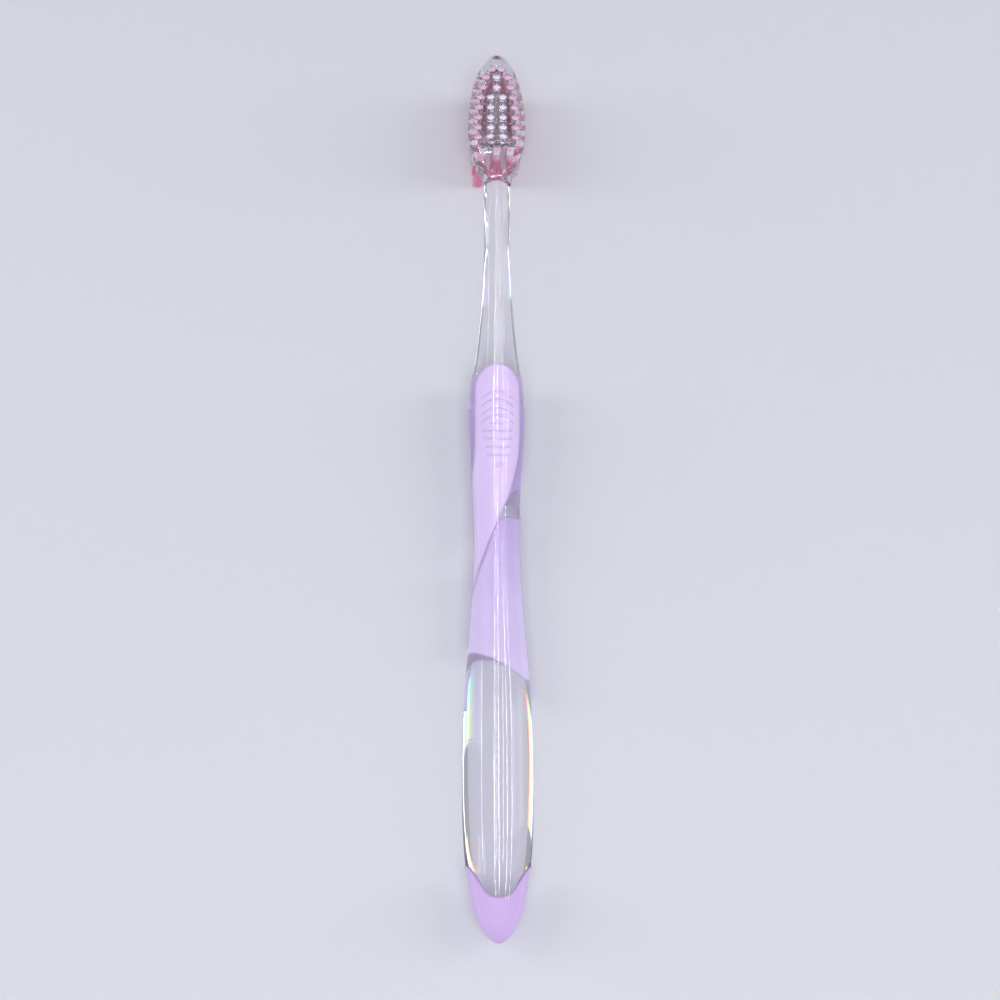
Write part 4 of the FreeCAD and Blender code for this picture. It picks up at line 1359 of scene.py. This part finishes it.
class TOOTHBRUSH_OT_stage(bpy.types.Operator):
    """Add the pale floor, the soft lamps and the camera"""

    bl_idname = "toothbrush.add_stage"
    bl_label = "Stage"

    def execute(self, context):
        settings = context.scene.toothbrush_stage
        paint = Material("matt_floor", grain_scale=60.0, wave_scale=8.0, blotch_scale=5.0)
        paint.set(roughness=0.85, specular_ior_level=0.2)
        paint.set(base_color=paint.blotched(settings.floor, 0.985))
        reach = 2.5
        stage = [flat_object("floor", paint.item, (-reach, -reach), (reach, reach), 0.0)]
        row_material = tube_material(settings.tube_light)
        row_width, row_level, lamp_level = 0.009, 0.5, 0.6
        for row_number, across in enumerate((-0.093, 0.013, 0.223, 0.39), 1):
            low = (across - row_width / 2, -0.15)
            high = (across + row_width / 2, 0.33)
            name = "lamp_row_%d" % row_number
            stage.append(overhead_lamp(name, row_material, low, high, row_level))
        # Side, and from where to where across the brush and along it.
        for name, sign, inner, outer, first, last in (
            ("lamp_left", -1, 0.26, 0.46, 0.075, 0.30),
            ("lamp_right", 1, 0.25, 0.45, 0.055, 0.14),
            ("lamp_neck_left", -1, 0.22, 0.345, 0.50, 0.56),
            ("lamp_neck_right", 1, 0.22, 0.345, 0.30, 0.60),
        ):
            glow = fringed_material(name, settings.fringe_light, inner, outer)
            left, right = sorted((sign * inner, sign * outer))
            lamp = overhead_lamp(name, glow, (left, first), (right, last), lamp_level)
            unseen_by(lamp, "glossy")
            stage.append(lamp)
        soft_lamp("soft_top", settings.soft_light, (0.7, 0.5), (0.0, -0.55, 0.95))
        soft_lamp("soft_left", settings.side_light, (0.3, 0.9), (-0.85, 0.1, 0.45))
        soft_lamp("soft_right", settings.side_light, (0.3, 0.9), (0.85, 0.1, 0.45))
        world = bpy.data.worlds.new("room")
        world.use_nodes = True
        ground = next(n for n in world.node_tree.nodes if n.type == "BACKGROUND")
        ground.inputs["Color"].default_value = (0.93, 0.94, 1.0, 1.0)
        ground.inputs["Strength"].default_value = settings.sky
        context.scene.world = world
        context.scene.view_settings.view_transform = "Standard"
        add_camera(context.scene, settings)
        return {"FINISHED"}


def add_camera(scene, settings):
    """The camera looks down on the brush from beyond its tail."""
    lens = bpy.data.cameras.new("camera")
    lens.lens = settings.camera_lens
    lens.sensor_width = 36.0
    lens.clip_start, lens.clip_end = 0.01, 20.0
    camera = bpy.data.objects.new("camera", lens)
    tilt, turn = settings.camera_tilt, settings.camera_turn
    back = Vector(
        (-math.sin(turn), -math.sin(tilt) * math.cos(turn), math.cos(tilt) * math.cos(turn))
    )
    target = Vector((0.0, -4.455, 6.5)) * MM
    shift = Vector((0.64 * MM, 0.0, 0.0))
    right = Vector((0.0, 1.0, 0.0)).cross(back).normalized()
    roll = Matrix.Rotation(settings.camera_roll, 3, back)
    axes = Matrix((roll @ right, roll @ back.cross(right), back)).transposed()
    place = target + back * settings.camera_distance + shift
    camera.matrix_world = Matrix.Translation(place) @ axes.to_4x4()
    scene.collection.objects.link(camera)
    scene.camera = camera


OPERATORS = (
    TOOTHBRUSH_OT_stage,
    TOOTHBRUSH_OT_handle,
    TOOTHBRUSH_OT_thumb_grip,
    TOOTHBRUSH_OT_finger_grip,
    TOOTHBRUSH_OT_palm_grip,
    TOOTHBRUSH_OT_tail_cap,
    TOOTHBRUSH_OT_tufts,
    TOOTHBRUSH_OT_anchors,
)
SETTINGS = {
    "toothbrush_stage": StageSettings,
    "toothbrush_handle": HandleSettings,
    "toothbrush_grips": GripSettings,
    "toothbrush_bristles": BristleSettings,
}


class TOOTHBRUSH_PT_pieces(bpy.types.Panel):
    bl_idname = "TOOTHBRUSH_PT_pieces"
    bl_label = "Toothbrush"
    bl_space_type = "VIEW_3D"
    bl_region_type = "UI"
    bl_category = "Toothbrush"

    def draw(self, context):
        for operator in OPERATORS:
            self.layout.operator(operator.bl_idname)
        for name, group in SETTINGS.items():
            box = self.layout.box()
            for prop in group.__annotations__:
                box.prop(getattr(context.scene, name), prop)


def register():
    for item in (*SETTINGS.values(), *OPERATORS, TOOTHBRUSH_PT_pieces):
        bpy.utils.register_class(item)
    for name, group in SETTINGS.items():
        setattr(bpy.types.Scene, name, PointerProperty(type=group))


def unregister():
    for name in SETTINGS:
        delattr(bpy.types.Scene, name)
    for item in (TOOTHBRUSH_PT_pieces, *reversed(OPERATORS), *SETTINGS.values()):
        bpy.utils.unregister_class(item)


def main():
    register()
    bpy.ops.toothbrush.add_stage()
    bpy.ops.toothbrush.add_handle()
    bpy.ops.toothbrush.add_thumb_grip()
    bpy.ops.toothbrush.add_finger_grip()
    bpy.ops.toothbrush.add_palm_grip()
    bpy.ops.toothbrush.add_tail_cap()
    bpy.ops.toothbrush.add_tufts()
    bpy.ops.toothbrush.finish_anchors()


if __name__ == "__main__":
    main()
